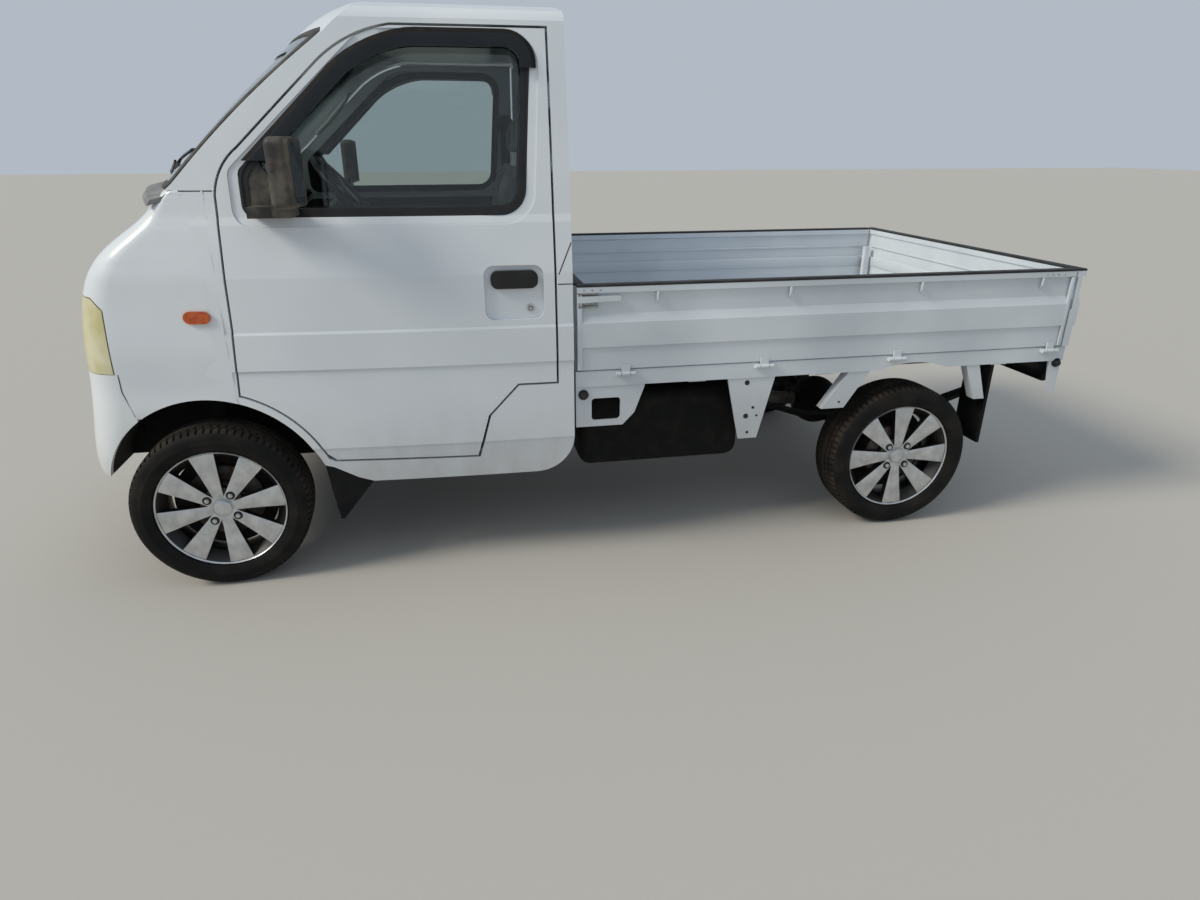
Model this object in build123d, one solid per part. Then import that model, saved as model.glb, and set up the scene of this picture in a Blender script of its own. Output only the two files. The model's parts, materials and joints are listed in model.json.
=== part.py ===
from build123d import *
import math
import os

os.makedirs("parts", exist_ok=True)

# Kei truck, built in millimetres with stations measured rearward from the front axle.
# X points to the rear, Y to the truck's right and Z up from the ground.

# Overall sizes
WHEELBASE = 2350
FRONT_OVERHANG = 430
REAR_OVERHANG = 615
HALF_WIDTH = 737.5
ROOF_TOP = 1765
TRACK = 1280
PANEL_GAP = 7

# Wheels
TYRE_RADIUS = 268
SPOKES = 8
LUGS = 4
LUG_CIRCLE = 50
DISC_RADIUS = 118
DISC_THICK = 14
STEER_ANGLE = 2

# Cab
CAB_REAR = 1135
CAB_BOTTOM = 318
SIDE_PLAN_RADIUS = 9500
SCREEN_AXIS_X = 1500
SCREEN_FOOT_X = -123
SIDE_WALL = 55
DOOR_WALL = 48
FRONT_WALL = 26
ROOF_WALL = 34
ROOF_EDGE_Y = 780
ROOF_CROWN = 118
REAR_WALL = 34
COWL_Z = 1223
NOSE_END_X = 100
ARCH_RADIUS = 350
ARCH_STRIP = 22
FLOOR_Z = 400
FLOOR_THICK = 22
SEAT_BOX_TOP = 640
SEAT_BOX_FRONT = 560

# Door
DOOR_REAR_X = 1086
DOOR_TOP_Z = 1655
DOOR_BOTTOM_Z = 388
WINDOW_SILL_Z = 1148
GLASS_THICK = 4

# Bed
BED_FRONT_X = 1143
BED_TAIL_X = WHEELBASE + REAR_OVERHANG
RAIL_Z = 932
BED_FLOOR_Z = 660
BED_FLOOR_THICK = 12
SILL_BOTTOM_Z = 608
GATE_THICK = 34

# Chassis
RAIL_Y = 345
RAIL_WIDE = 50

MID_X = (BED_TAIL_X - FRONT_OVERHANG) / 2
AXLE_Z = TYRE_RADIUS


def save(name, *shapes):
    """Write one node, moved so that the middle of the length is at the origin."""
    parts = [solid for shape in shapes for solid in shape.solids()]
    moved = [Pos(-MID_X, 0, 0) * part for part in parts]
    out = moved[0] if len(moved) == 1 else Compound(children=moved)
    export_step(out, f"parts/{name}.step")


def block(x0, x1, y0, y1, z0, z1):
    """A box between two corners."""
    size = (x1 - x0, y1 - y0, z1 - z0)
    return Pos((x0 + x1) / 2, (y0 + y1) / 2, (z0 + z1) / 2) * Box(*size)


def prism(points, y0, y1):
    """An outline in X and Z, drawn out from y0 to y1."""
    face = make_face(Polyline(*[(x, 0, z) for x, z in points], close=True))
    return extrude_y(face, y0, y1)


def extrude_y(face, y0, y1):
    """A face in the XZ plane drawn out from y0 to y1."""
    return Pos(0, y0, 0) * extrude(face, amount=y1 - y0, dir=(0, 1, 0))


def rod(x, y, z, radius, length, axis):
    """A round bar centred on a point, along one axis."""
    turn = {"X": (0, 90, 0), "Y": (90, 0, 0), "Z": (0, 0, 0)}[axis]
    return Pos(x, y, z) * Rot(*turn) * Cylinder(radius, length)


def rounded(points, radii, y0, y1):
    """An outline in X and Z with each corner rounded, drawn out from y0 to y1."""
    face = make_face(FilletPolyline(*[(x, 0, z) for x, z in points], radius=radii, close=True))
    return extrude_y(face, y0, y1)


def both(shape):
    """A shape and its mirror image across the truck's middle."""
    return [shape, mirror(shape, Plane.XZ)]


# Cab outer form
# Half width of the side by height, at the cab's rear edge: height, half width
SIDE_ROWS = [
    (CAB_BOTTOM, 706),
    (DOOR_BOTTOM_Z, 717),
    (436, 726),
    (446, 730),
    (699, 732),
    (706, HALF_WIDTH),
    (815, HALF_WIDTH),
    (823, 734),
    (980, 731),
    (1128, 712),
    (1150, 705),
]
# Tumblehome of the window part, as an arc through three places: height, half width
SIDE_MID = (1420, 671)
SIDE_BOW = 6
DRIP_Z = 1668
DRIP_Y = 628
# Nose sections by height: height, front at the middle, plan radius of the front, corner radius
NOSE_ROWS = [
    (560, -400, 3200, 120),
    (640, -392, 3200, 130),
    (740, -388, 3200, 130),
    (811, -381, 3200, 130),
    (905, -362, 3200, 125),
    (985, -333, 3000, 115),
    (1066, -270, 2600, 105),
    (1143, -181, 2000, 75),
    (COWL_Z, SCREEN_FOOT_X, 1560, 32),
]


def half_at(z):
    """Half width of the body side at a height, at the cab's rear edge."""
    for (z0, y0), (z1, y1) in zip(SIDE_ROWS, SIDE_ROWS[1:]):
        if z0 <= z <= z1:
            return y0 + (y1 - y0) * (z - z0) / (z1 - z0)
    share = (z - SIDE_ROWS[-1][0]) / (DRIP_Z - SIDE_ROWS[-1][0])
    return SIDE_ROWS[-1][1] + share * (DRIP_Y - SIDE_ROWS[-1][1]) + 4 * SIDE_BOW * share * (1 - share)


def side_drop(x):
    """How far the side has come in at a station, by its plan curve."""
    return (CAB_REAR - x) ** 2 / (2 * SIDE_PLAN_RADIUS)


def side_limit(inset):
    """Everything left of the right side's curved face."""
    rows = [(y - inset, z) for z, y in SIDE_ROWS]
    low = CAB_BOTTOM - 20
    drip = (DRIP_Y - inset, DRIP_Z)
    shoulder = (606 - inset, 1692 - inset)
    crown = (562 - inset, 1704 - inset)
    far = (-900, crown[1] + 0.217 * (crown[0] + 900))
    with BuildSketch(Plane.YZ.offset(CAB_REAR + 40)) as sketch:
        with BuildLine():
            Polyline((-900, low), (rows[0][0], low), *rows)
            ThreePointArc(rows[-1], (SIDE_MID[1] - inset, SIDE_MID[0]), drip)
            ThreePointArc(drip, shoulder, crown)
            Polyline(crown, far, (-900, low))
        make_face()
    axis = Axis((CAB_REAR, HALF_WIDTH - SIDE_PLAN_RADIUS, 0), (0, 0, 1))
    return revolve(sketch.sketch.faces()[0], axis=axis, revolution_arc=11.5)


def roof_limit(drop):
    """Everything below the crowned roof."""
    edge = ROOF_TOP - ROOF_CROWN - drop
    with BuildSketch(Plane.YZ.offset(-500)) as sketch:
        with BuildLine():
            ThreePointArc((-ROOF_EDGE_Y, edge), (0, ROOF_TOP - drop), (ROOF_EDGE_Y, edge))
            Polyline((ROOF_EDGE_Y, edge), (ROOF_EDGE_Y, 250), (-ROOF_EDGE_Y, 250), (-ROOF_EDGE_Y, edge))
        make_face()
    return extrude(sketch.sketch, amount=CAB_REAR + 700)


def screen_limit(inset):
    """Everything behind the windscreen's bowed surface."""
    base = (SCREEN_FOOT_X + inset, COWL_Z - inset * 0.3)
    header = (305 + inset * 0.6, 1633 - inset * 0.8)
    brow = (480, 1733 - inset)
    crown = (800, ROOF_TOP + 3 - inset)
    with BuildSketch(Plane.XZ) as sketch:
        with BuildLine():
            Polyline((SCREEN_AXIS_X, 250), (SCREEN_FOOT_X + inset, 250), base)
            ThreePointArc(base, (82 + inset * 0.7, 1438 - inset * 0.7), header)
            ThreePointArc(header, (372 + inset * 0.4, 1690 - inset), brow)
            ThreePointArc(brow, (620, 1760 - inset), crown)
            Polyline(crown, (SCREEN_AXIS_X, crown[1]), (SCREEN_AXIS_X, 250))
        make_face()
    face = sketch.sketch.faces()[0].rotate(Axis((SCREEN_AXIS_X, 0, 0), (0, 0, 1)), -90)
    return revolve(face, axis=Axis((SCREEN_AXIS_X, 0, 0), (0, 0, 1)), revolution_arc=180)


def cab_body(side, front, roof, rear):
    """The cab behind the nose, taken in by a wall on each side."""
    right = side_limit(side)
    body = screen_limit(front) & right & mirror(right, Plane.XZ) & roof_limit(roof)
    body -= block(CAB_REAR - rear, CAB_REAR + 400, -900, 900, 200, 1900)
    return body - block(-600, NOSE_END_X, -900, 900, 200, COWL_Z)


def nose_section(z, front, radius, corner, inset):
    """One level of the nose, as a face."""
    wide = half_at(z) - inset
    first, last = -150, NOSE_END_X
    slope = (side_drop(first) - side_drop(last)) / (last - first)
    x, y = front + inset, 0
    for _ in range(20):
        y = wide - side_drop(last) - slope * (last - x)
        x = front + inset + y * y / (2 * radius)
    end = wide - side_drop(last)
    with BuildSketch(Plane.XY.offset(z)) as sketch:
        with BuildLine():
            Line((last, -end), (x, -y))
            ThreePointArc((x, -y), (front + inset, 0), (x, y))
            Polyline((x, y), (last, end), (last, -end))
        make_face()
        fillet([v for v in sketch.vertices() if v.X < last - 10], max(corner - inset, 20))
    return sketch.sketch


def nose(inset, top_drop):
    """The nose up to the cowl, taken in by its wall."""
    body = loft([nose_section(*row, inset) for row in NOSE_ROWS])
    if top_drop:
        body -= block(-600, 300, -900, 900, COWL_Z - top_drop, COWL_Z + 100)
    return body


body_outer = cab_body(0, 0, 0, 0)
body_inner = cab_body(SIDE_WALL, FRONT_WALL, ROOF_WALL, REAR_WALL)
nose_outer = nose(0, 0)
nose_inner = nose(FRONT_WALL, 22)


# Door outline, seen from the side
def door_face(gap):
    """The door's outline in X and Z, taken in by a gap all round."""
    strip = ARCH_RADIUS + ARCH_STRIP + gap
    high_x, low_x = 106 + gap, 345
    rear, top, bottom = DOOR_REAR_X - gap, DOOR_TOP_Z - gap, DOOR_BOTTOM_Z + gap
    step = 629 + gap
    side, slant = gap, gap * 0.7
    high = (high_x, AXLE_Z + math.sqrt(strip**2 - high_x**2))
    low = (low_x, AXLE_Z + math.sqrt(strip**2 - low_x**2))
    turn = strip * math.sqrt(0.5)
    nose_edge = (128 + side, 1209)
    corner = (205 + slant, 1338 - slant)
    foot = (367 + gap / 2, bottom + 8)
    brow = (430 + slant, 1547 - slant)
    with BuildSketch(Plane.XZ) as sketch:
        with BuildLine():
            ThreePointArc(low, (turn, AXLE_Z + turn), high)
            Polyline(high, (119 + side, 830), nose_edge)
            ThreePointArc(nose_edge, (150 + side, 1276 - slant / 2), corner)
            Line(corner, brow)
            ThreePointArc(brow, (522 + slant / 2, 1614 - gap), (650, top))
            Polyline((650, top), (rear, top), (rear, step), (958 - slant / 2, step))
            Polyline((958 - slant / 2, step), (865 - gap, 532 + slant / 2), (824 - gap, bottom), foot, low)
        make_face()
    return sketch.sketch.faces()[0]


door_hole = extrude_y(door_face(0), -900, -300)
door_blank = extrude_y(door_face(PANEL_GAP), -900, -300)
left_body = body_outer & door_blank
door_left = left_body - cab_body(DOOR_WALL, FRONT_WALL, ROOF_WALL, REAR_WALL)
# Corners of the side window and their rounding, front low first
WINDOW_POINTS = [(200, WINDOW_SILL_Z), (1000, WINDOW_SILL_Z), (1036, 1625), (585, 1625), (200, 1275)]
WINDOW_RADII = [35, 75, 80, 130, 30]
window_hole = rounded(WINDOW_POINTS, WINDOW_RADII, -900, -300)
POCKET_Y = 717
handle_pocket = rounded([(865, 841), (1045, 841), (1045, 1005), (865, 1005)], [30] * 4, -900, -POCKET_Y)
# A shallow pressing runs round the window
SURROUND_POINTS = [(172, 1122), (1026, 1122), (1062, 1641), (572, 1641), (172, 1275)]
SURROUND_RADII = [50, 95, 90, 135, 40]
SURROUND_DEPTH = 5
surround = mirror(side_limit(-30) - side_limit(SURROUND_DEPTH), Plane.XZ)
surround &= rounded(SURROUND_POINTS, SURROUND_RADII, -900, -300)
door_left = door_left - surround - window_hole - handle_pocket
save("door_left", door_left)
save("door_right", mirror(door_left, Plane.XZ))
glass_band = side_limit(24) - side_limit(24 + GLASS_THICK)
glass_left = mirror(glass_band, Plane.XZ) & window_hole
save("door_glass_left", glass_left)
save("door_glass_right", mirror(glass_left, Plane.XZ))

# Door mirror: a case on an arm from the cover plate in the window's front corner
COVER_DEPTH = 8
cover_face = mirror(side_limit(COVER_DEPTH), Plane.XZ)
cover = (cover_face - mirror(side_limit(24), Plane.XZ)) & window_hole
cover &= prism([(190, 1140), (322, 1140), (322, 1190), (250, 1310), (190, 1310)], -900, -300)
mirror_case = fillet(Box(62, 118, 181).edges(), 20)
mirror_case = Pos(353, -790, 1272) * Rot(0, 0, -7) * mirror_case
mirror_arm = block(308, 360, -800, -700, 1158, 1200) + block(228, 345, -735, -620, 1152, 1182)
mirror_left = mirror_case + (mirror_arm - cover_face) + cover
save("mirror_left", mirror_left)
save("mirror_right", mirror(mirror_left, Plane.XZ))
handle = rounded([(885, 936), (1028, 936), (1028, 990), (885, 990)], [22] * 4, -POCKET_Y - 16, -POCKET_Y)
save("door_handle_left", handle)
save("door_handle_right", mirror(handle, Plane.XZ))

# Cab sides: sill, rear pillar and rear corner, around the door opening
door_holes = door_hole + mirror(door_hole, Plane.XZ)
# The sill's lower rear corner is rounded off
CORNER_RADIUS = 125
corner_cut = block(CAB_REAR - CORNER_RADIUS, CAB_REAR + 20, -900, 900, 200, CAB_BOTTOM + CORNER_RADIUS)
corner_cut -= rod(CAB_REAR - CORNER_RADIUS, 0, CAB_BOTTOM + CORNER_RADIUS, CORNER_RADIUS, 1800, "Y")
arch_cut = rod(0, 0, AXLE_Z, ARCH_RADIUS, 1800, "Y")
body_shell = body_outer - body_inner - door_holes
body_shell = body_shell - corner_cut - arch_cut - block(-600, 1200, -900, 900, 0, CAB_BOTTOM)
# The sill's front end is cut away along a slant, where the front mudflap fits
SILL_SLANT = [(329, 384), (357, 376), (430, 334), (476, CAB_BOTTOM)]
body_shell -= prism([(300, 200), (300, 384), *SILL_SLANT, (476, 200)], -900, 900)
pillar_zone = block(DOOR_REAR_X, CAB_REAR, -900, -600, 200, DOOR_TOP_Z)
low_zone = block(200, CAB_REAR, -900, -600, 200, 700)
side_left = body_shell & (pillar_zone + low_zone)
save("cab_side_left", side_left)
save("cab_side_right", mirror(side_left, Plane.XZ))

# Rear panel with its window, between the corner pillars
rear_hole = Pos(CAB_REAR, 0, 1375) * Rot(0, 90, 0) * extrude(RectangleRounded(380, 980, 70), 200, both=True)
REAR_PANEL_Z = 620
rear_panel = (body_shell & block(900, CAB_REAR, -600, 600, REAR_PANEL_Z, DOOR_TOP_Z)) - rear_hole
save("rear_panel", rear_panel)
rear_glass = (block(CAB_REAR - 22, CAB_REAR - 18, -600, 600, 1000, 1700)) & rear_hole

# Roof with the windscreen pillars
screen_hole = loft([
    Plane.YZ.offset(-200) * Pos(0, 1437) * RectangleRounded(1200, 400, 60),
    Plane.YZ.offset(560) * Pos(0, 1437) * RectangleRounded(1120, 400, 60),
])
roof_zone = block(-200, 1200, -900, 900, DOOR_TOP_Z, 1900) + block(-200, 900, -900, 900, COWL_Z, DOOR_TOP_Z)
roof = (body_shell & roof_zone) - screen_hole
save("roof", roof)
screen = (screen_limit(3) - screen_limit(8)) & screen_hole
save("cab_glass", screen, rear_glass)

# Front panel with the fenders, cut for the arches, lamps and cooling air
front_end = body_outer & block(NOSE_END_X, 400, -900, 900, CAB_BOTTOM, COWL_Z)
lamp_zone = prism([(-500, 700), (-237, 700), (-230, 895), (-262, 930), (-500, 950)], -900, -330)
lamp_zones = lamp_zone + mirror(lamp_zone, Plane.XZ)
front_shell = (nose_outer - nose_inner) + (front_end - body_inner)
front_shell = front_shell - door_holes - arch_cut - lamp_zones
bumper_line = [(-190, 200), (-205, 556), (-230, 648), (-230, 702)]
bumper_zone = prism([(-600, 200), *bumper_line, (-600, 702)], -900, 900)
front_shell = front_shell - bumper_zone - block(200, 600, -900, 900, 200, 650)
save("front_panel", front_shell)

# Headlamps fill the front corners, with a wider housing behind the panel
LAMP_DEPTH = 60
lamp_lens = prism([(-500, 704), (-241, 704), (-234, 893), (-264, 926), (-500, 946)], -900, -334)
lamp_flange = prism([(-500, 704), (-226, 704), (-219, 899), (-258, 940), (-500, 960)], -900, -318)
lamp_back = nose(LAMP_DEPTH, 0)
lamp_front = nose(FRONT_WALL, 0)
lamp = ((nose_outer - lamp_front) & lamp_lens) + ((lamp_front - lamp_back) & lamp_flange)
save("headlamps", *both(lamp))

# Side markers stand on the fenders
marker = Pos(31, -650, 872) * Rot(90, 0, 0) * extrude(SlotOverall(76, 36), 60, both=True)
marker = marker & (nose(-9, 0) - nose_outer)
save("side_markers", *both(marker))

# Front bumper, wrapped round the nose below the lamps: height, front at the middle, corner radius
BUMPER_ROWS = [
    (362, -424, 100),
    (430, -430, 125),
    (500, -422, 140),
    (565, -411, 140),
    (645, -398, 135),
    (702, -391, 130),
]


def bumper_body(inset):
    """The bumper's form, taken in by its wall."""
    faces = [nose_section(z, front, 3200, corner, inset) for z, front, corner in BUMPER_ROWS]
    return loft(faces)


BUMPER_WALL = 18
bumper = ((bumper_body(0) - bumper_body(BUMPER_WALL)) & bumper_zone) - arch_cut
# The air intake, with two bars across it
INTAKE_HALF, INTAKE_FOOT, INTAKE_TOP = 330, 470, 560
intake = [(-460, INTAKE_FOOT), (-300, INTAKE_FOOT), (-300, INTAKE_TOP), (-460, INTAKE_TOP)]
bumper = bumper - rounded(intake, [12] * 4, -INTAKE_HALF, INTAKE_HALF)
bar_zone = bumper_body(4) - bumper_body(14)
for z in (497, 530):
    bumper += bar_zone & block(-500, -300, -INTAKE_HALF, INTAKE_HALF, z - 5, z + 5)
save("front_bumper", bumper)

# Cab floor: floor pan, wheel housings, strut towers and the box over the engine
HOUSING_IN_Y = 385
HOUSING_OUT_Y = 715
HOUSING_WALL = 8
HOUSING_BACK_X = 352
TOWER_RADIUS = 86
STRUT_TOP_Y = 484
TOWER_TOP_Z = 740
SEALER = 0.5


def housing_space(inset):
    """The room for a front wheel, taken in by the housing's wall."""
    width = HOUSING_OUT_Y - HOUSING_IN_Y - inset
    return rod(0, -HOUSING_OUT_Y + width / 2, AXLE_Z, ARCH_RADIUS + HOUSING_WALL - inset, width, "Y")


tower = rod(0, -STRUT_TOP_Y, TOWER_TOP_Z - 100, TOWER_RADIUS + HOUSING_WALL, 200, "Z")
tower_space = rod(0, -STRUT_TOP_Y, TOWER_TOP_Z - 110, TOWER_RADIUS, 200, "Z")
housing = housing_space(0) + tower - housing_space(HOUSING_WALL) - tower_space
housing = housing & block(-FRONT_OVERHANG, HOUSING_BACK_X, -900, -300, CAB_BOTTOM + 2, 900)
floor_top = FLOOR_Z + FLOOR_THICK
pan = block(-330, SEAT_BOX_FRONT, -900, 900, FLOOR_Z, floor_top)
for side in (-1, 1):
    pan -= block(-400, HOUSING_BACK_X, side * 650 - 265, side * 650 + 265, 0, 900)
engine_box = block(SEAT_BOX_FRONT, CAB_REAR - REAR_WALL, -900, 900, FLOOR_Z, SEAT_BOX_TOP)
engine_box = engine_box - block(SEAT_BOX_FRONT + 12, 1200, -610, 610, 0, SEAT_BOX_TOP - 12)
floor = pan + engine_box
inside = cab_body(SIDE_WALL + SEALER, FRONT_WALL + SEALER, ROOF_WALL, REAR_WALL + SEALER)
inside += nose(FRONT_WALL + SEALER, 22)
low_inside = bumper_body(BUMPER_WALL + SEALER) & block(-500, NOSE_END_X, -900, 900, CAB_BOTTOM, 560)
inside = inside + low_inside
save("cab_floor", floor & inside)
save("wheel_housings", *both(housing & inside))

# Dashboard
dash = prism([(-40, 860), (160, 840), (215, 900), (215, 1070), (170, 1120), (-40, 1150)], -700, 700)
dash = fillet(dash.edges().filter_by(Axis.Y), 18)
cab_width = side_limit(SIDE_WALL + SEALER)
dash = dash & cab_width & mirror(cab_width, Plane.XZ)
save("dashboard", dash)

# Steering column and wheel, leaning back to the driver on the right
DRIVER_Y = 340
WHEEL_X, WHEEL_Z = 385, 1150
COLUMN_TILT = 50
WHEEL_RADIUS = 182
column_frame = Location((WHEEL_X, DRIVER_Y, WHEEL_Z), (0, COLUMN_TILT, 0))
column = column_frame * (Pos(0, 0, -160) * Cylinder(30, 240))
column_shaft = column_frame * (Pos(0, 0, -240) * Cylinder(12, 300))
save("steering_column", (column + column_shaft) - dash)
hub = Pos(0, 0, -10) * Cylinder(48, 44)
spokes = [Rot(0, 0, angle) * Pos(100, 0, -2) * Box(150, 26, 12) for angle in (0, 120, 240)]
steering_wheel = column_frame * (Torus(WHEEL_RADIUS, 14) + hub + spokes)
save("steering_wheel", steering_wheel)

# Seats: cushion and back with headrest, one pair for each side
SEAT_Y = 345
SEAT_HALF = 225
cushion = block(590, 985, -SEAT_Y - SEAT_HALF, -SEAT_Y + SEAT_HALF, SEAT_BOX_TOP + 1, SEAT_BOX_TOP + 110)
cushion = fillet(cushion.edges(), 28)
save("seat_cushions", *both(cushion))
back = prism([(930, 752), (1025, 752), (1088, 1290), (1020, 1290)], -SEAT_Y - SEAT_HALF, -SEAT_Y + SEAT_HALF)
back = fillet(back.edges(), 24)
rest = prism([(1030, 1300), (1086, 1300), (1094, 1440), (1040, 1440)], -SEAT_Y - 120, -SEAT_Y + 120)
rest = fillet(rest.edges(), 18)
stems = rod(1056, -SEAT_Y - 60, 1290, 6, 60, "Z") + rod(1056, -SEAT_Y + 60, 1290, 6, 60, "Z")
save("seat_backs", *both(back + rest + stems))

# Engine as one plain block, and the gearbox with the propeller shaft
ENGINE_HALF = 190
engine = block(640, 1010, -ENGINE_HALF, ENGINE_HALF, 300, 600)
save("engine_block", engine)
gearbox = loft([
    Plane.YZ.offset(1010) * Pos(0, 400) * RectangleRounded(240, 240, 40),
    Plane.YZ.offset(1420) * Pos(0, 390) * RectangleRounded(130, 130, 30),
])
AXLE_TUBE = 34
DIFF_RADIUS = 105
shaft_top = (1420, 0, 390)
shaft_end = (WHEELBASE - DIFF_RADIUS, 0, AXLE_Z + 10)
shaft_line = Line(shaft_top, shaft_end)
shaft_plane = Plane(shaft_top, z_dir=Vector(*shaft_end) - Vector(*shaft_top))
shaft = sweep(shaft_plane * Circle(27), path=shaft_line)
save("gearbox_shaft", gearbox + shaft)

# Ladder frame: two box rails that rise behind the cab, joined by cross members
rail_top = [(-300, 392), (1010, 392), (1190, 600), (2905, 600)]
rail_foot = [(2905, 520), (1230, 520), (1050, 330), (-300, 330)]
rail = prism(rail_top + rail_foot, -RAIL_Y - RAIL_WIDE / 2, -RAIL_Y + RAIL_WIDE / 2)
save("chassis_frame", *both(rail))
cross_y = RAIL_Y - RAIL_WIDE / 2
cross_places = [(-270, 361), (200, 361), (1260, 560), (1560, 560), (2020, 560), (2870, 560)]
crosses = [block(x - 25, x + 25, -cross_y, cross_y, z - 28, z + 28) for x, z in cross_places]
# Engine mounts reach from the rails to the block
mount = block(800, 860, -cross_y, -ENGINE_HALF, 346, 384)
# Tow eyes: an upright plate under the nose and a flat one under the tail
TOW_EYE_RADIUS = 14
crosses[0] += block(-320, -256, -6, 6, 268, 335) - rod(-290, 0, 300, TOW_EYE_RADIUS, 20, "Y")
crosses[-1] += block(2845, 2857, -30, 30, 494, 535)
crosses[-1] += block(2857, 2945, -30, 30, 494, 506) - rod(2918, 0, 500, TOW_EYE_RADIUS, 20, "Z")
save("cross_members", *crosses, *both(mount))

# Front suspension: lower arms, struts with springs, and the steering rack
KINGPIN_LOW = (0, -592, 160)
KINGPIN_TOP = (0, -470, 700)
kingpin_way = Vector(*KINGPIN_TOP) - Vector(*KINGPIN_LOW)
KINGPIN_AXIS = kingpin_way.normalized()


def along(start, length, radius, way=KINGPIN_AXIS, first=0):
    """A round bar from a distance along a direction."""
    origin = Vector(*start) + way * first
    return extrude(Plane(origin, z_dir=way) * Circle(radius), length)


arm = loft([
    Plane.XZ.offset(545) * Pos(0, 158) * Rectangle(72, 25),
    Plane.XZ.offset(325) * Pos(0, 215) * Rectangle(230, 30),
])
# The arm's foot carries the ball joint: place across, height
ARM_FOOT = [(-612, 112), (-612, 132), (-536, 132), (-512, 166), (-480, 166), (-500, 128), (-528, 112)]
foot = make_face(Polyline(*[(-25, y, z) for y, z in ARM_FOOT], close=True))
arm = arm + extrude(foot, amount=50, dir=(1, 0, 0))
arm = arm + along(KINGPIN_LOW, 26, 24, first=-50) + along(KINGPIN_LOW, 16, 9, first=-28)
arm = arm - along(KINGPIN_LOW, 80, 60, first=-11)
arm_post = block(-110, 110, -345, -320, 200, 330)
spring = along(KINGPIN_LOW, 120, 46, first=434) - along(KINGPIN_LOW, 140, 30, first=424)
piston = along(KINGPIN_LOW, 145, 10, first=415)
cap = along(KINGPIN_LOW, 8, 50, first=554)
# The strut's rubber mount fills the height up to the tower's top plate
strut_mount = rod(0, KINGPIN_TOP[1], TOWER_TOP_Z - 21, 30, 22, "Z")
rack_foot = block(125, 175, -330, -300, 300, 330)
rack = rod(150, 0, 300, 22, 640, "Y") + rack_foot + mirror(rack_foot, Plane.XZ)
suspension = [arm + arm_post, piston + cap + spring + strut_mount]
save("front_suspension", rack, *[half for part in suspension for half in both(part)])


# Wheels
def ring(points):
    """A ring about the Y axis from an outline of radius and place along the axle."""
    face = make_face(Polyline(*[(r, y, 0) for r, y in points], close=True))
    return revolve(face, axis=Axis.Y)


# Barrel outline: radius, place along the axle from the outer face
BARREL = [(196, -70), (196, -62), (184, -58), (172, -34), (172, 12), (183, 55), (184, 60), (196, 63),
          (196, 70), (188, 70), (176, 58), (163, 12), (163, -30), (180, -64), (188, -70)]
TYRE_SIDES = 40
# Outer and inner section of the tyre: radius to a facet's middle, place along the axle
TYRE_OUTSIDE = [(186.5, -57.5), (196.5, -61.5), (214, -80), (246, -81.5), (TYRE_RADIUS, -58)]
TYRE_INSIDE = [(184.6, -46), (248, -66), (258, -44)]


def facet_stack(rows):
    """A stack of regular outlines about the Y axis, with straight sides between them."""
    rows = rows + [(radius, -place) for radius, place in reversed(rows)]
    turned = math.cos(math.pi / TYRE_SIDES)
    faces = []
    for radius, place in rows:
        outline = Rot(0, 0, 180 / TYRE_SIDES) * RegularPolygon(radius / turned, TYRE_SIDES)
        faces.append(Plane.XZ.offset(-place) * outline)
    return loft(faces, ruled=True)


tyre = facet_stack(TYRE_OUTSIDE) - facet_stack([(184.6, -90)]) - facet_stack(TYRE_INSIDE)
barrel = ring(BARREL)
wheel_spokes = []
for number in range(SPOKES):
    blade = prism([(30, 15), (178, 36), (178, -36), (30, -15)], -62, -38)
    wheel_spokes.append(Rot(0, number * 360 / SPOKES, 0) * blade)
centre = ring([(0, -58), (46, -58), (66, -50), (66, -25), (0, -25)])
lug_holes = [Rot(0, number * 360 / LUGS, 0) * rod(LUG_CIRCLE, -50, 0, 11, 30, "Y") for number in range(LUGS)]
stub_hole = rod(0, 0, 0, 20, 110, "Y")
DISC_Y = 10
disc_back = DISC_Y + DISC_THICK
disc = ring([(0, -25), (72, -25), (72, DISC_Y), (DISC_RADIUS, DISC_Y), (DISC_RADIUS, disc_back),
             (0, disc_back)])
drum = ring([(0, -25), (100, -25), (108, -18), (108, 40), (98, 40), (98, -14), (0, -14)])
front_rim = (barrel + wheel_spokes + centre + disc) - lug_holes - stub_hole
rear_rim = (barrel + wheel_spokes + centre + drum) - lug_holes - stub_hole

KINGPIN_Y = 592 - 122 * (AXLE_Z - 160) / 540
wheel_place = Pos(0, -TRACK / 2, AXLE_Z)


def steer(shape, side):
    """Turn a front wheel's piece to the rest angle about its kingpin."""
    pin = Axis((0, side * KINGPIN_Y, 0), (0, 0, 1))
    return shape.rotate(pin, STEER_ANGLE)


# The front wheels have stopped a few degrees further round than the rear ones
left_rim = wheel_place * Rot(0, -11, 0) * front_rim
left_tyre = wheel_place * tyre
save("rim_front_left", steer(left_rim, -1))
save("tyre_front_left", steer(left_tyre, -1))
save("rim_front_right", steer(mirror(left_rim, Plane.XZ), 1))
save("tyre_front_right", steer(mirror(left_tyre, Plane.XZ), 1))
rear_place = Pos(WHEELBASE, -TRACK / 2, AXLE_Z)
save("rim_rear_left", rear_place * rear_rim)
save("tyre_rear_left", rear_place * tyre)
save("rim_rear_right", mirror(rear_place * rear_rim, Plane.XZ))
save("tyre_rear_right", mirror(rear_place * tyre, Plane.XZ))

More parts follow.
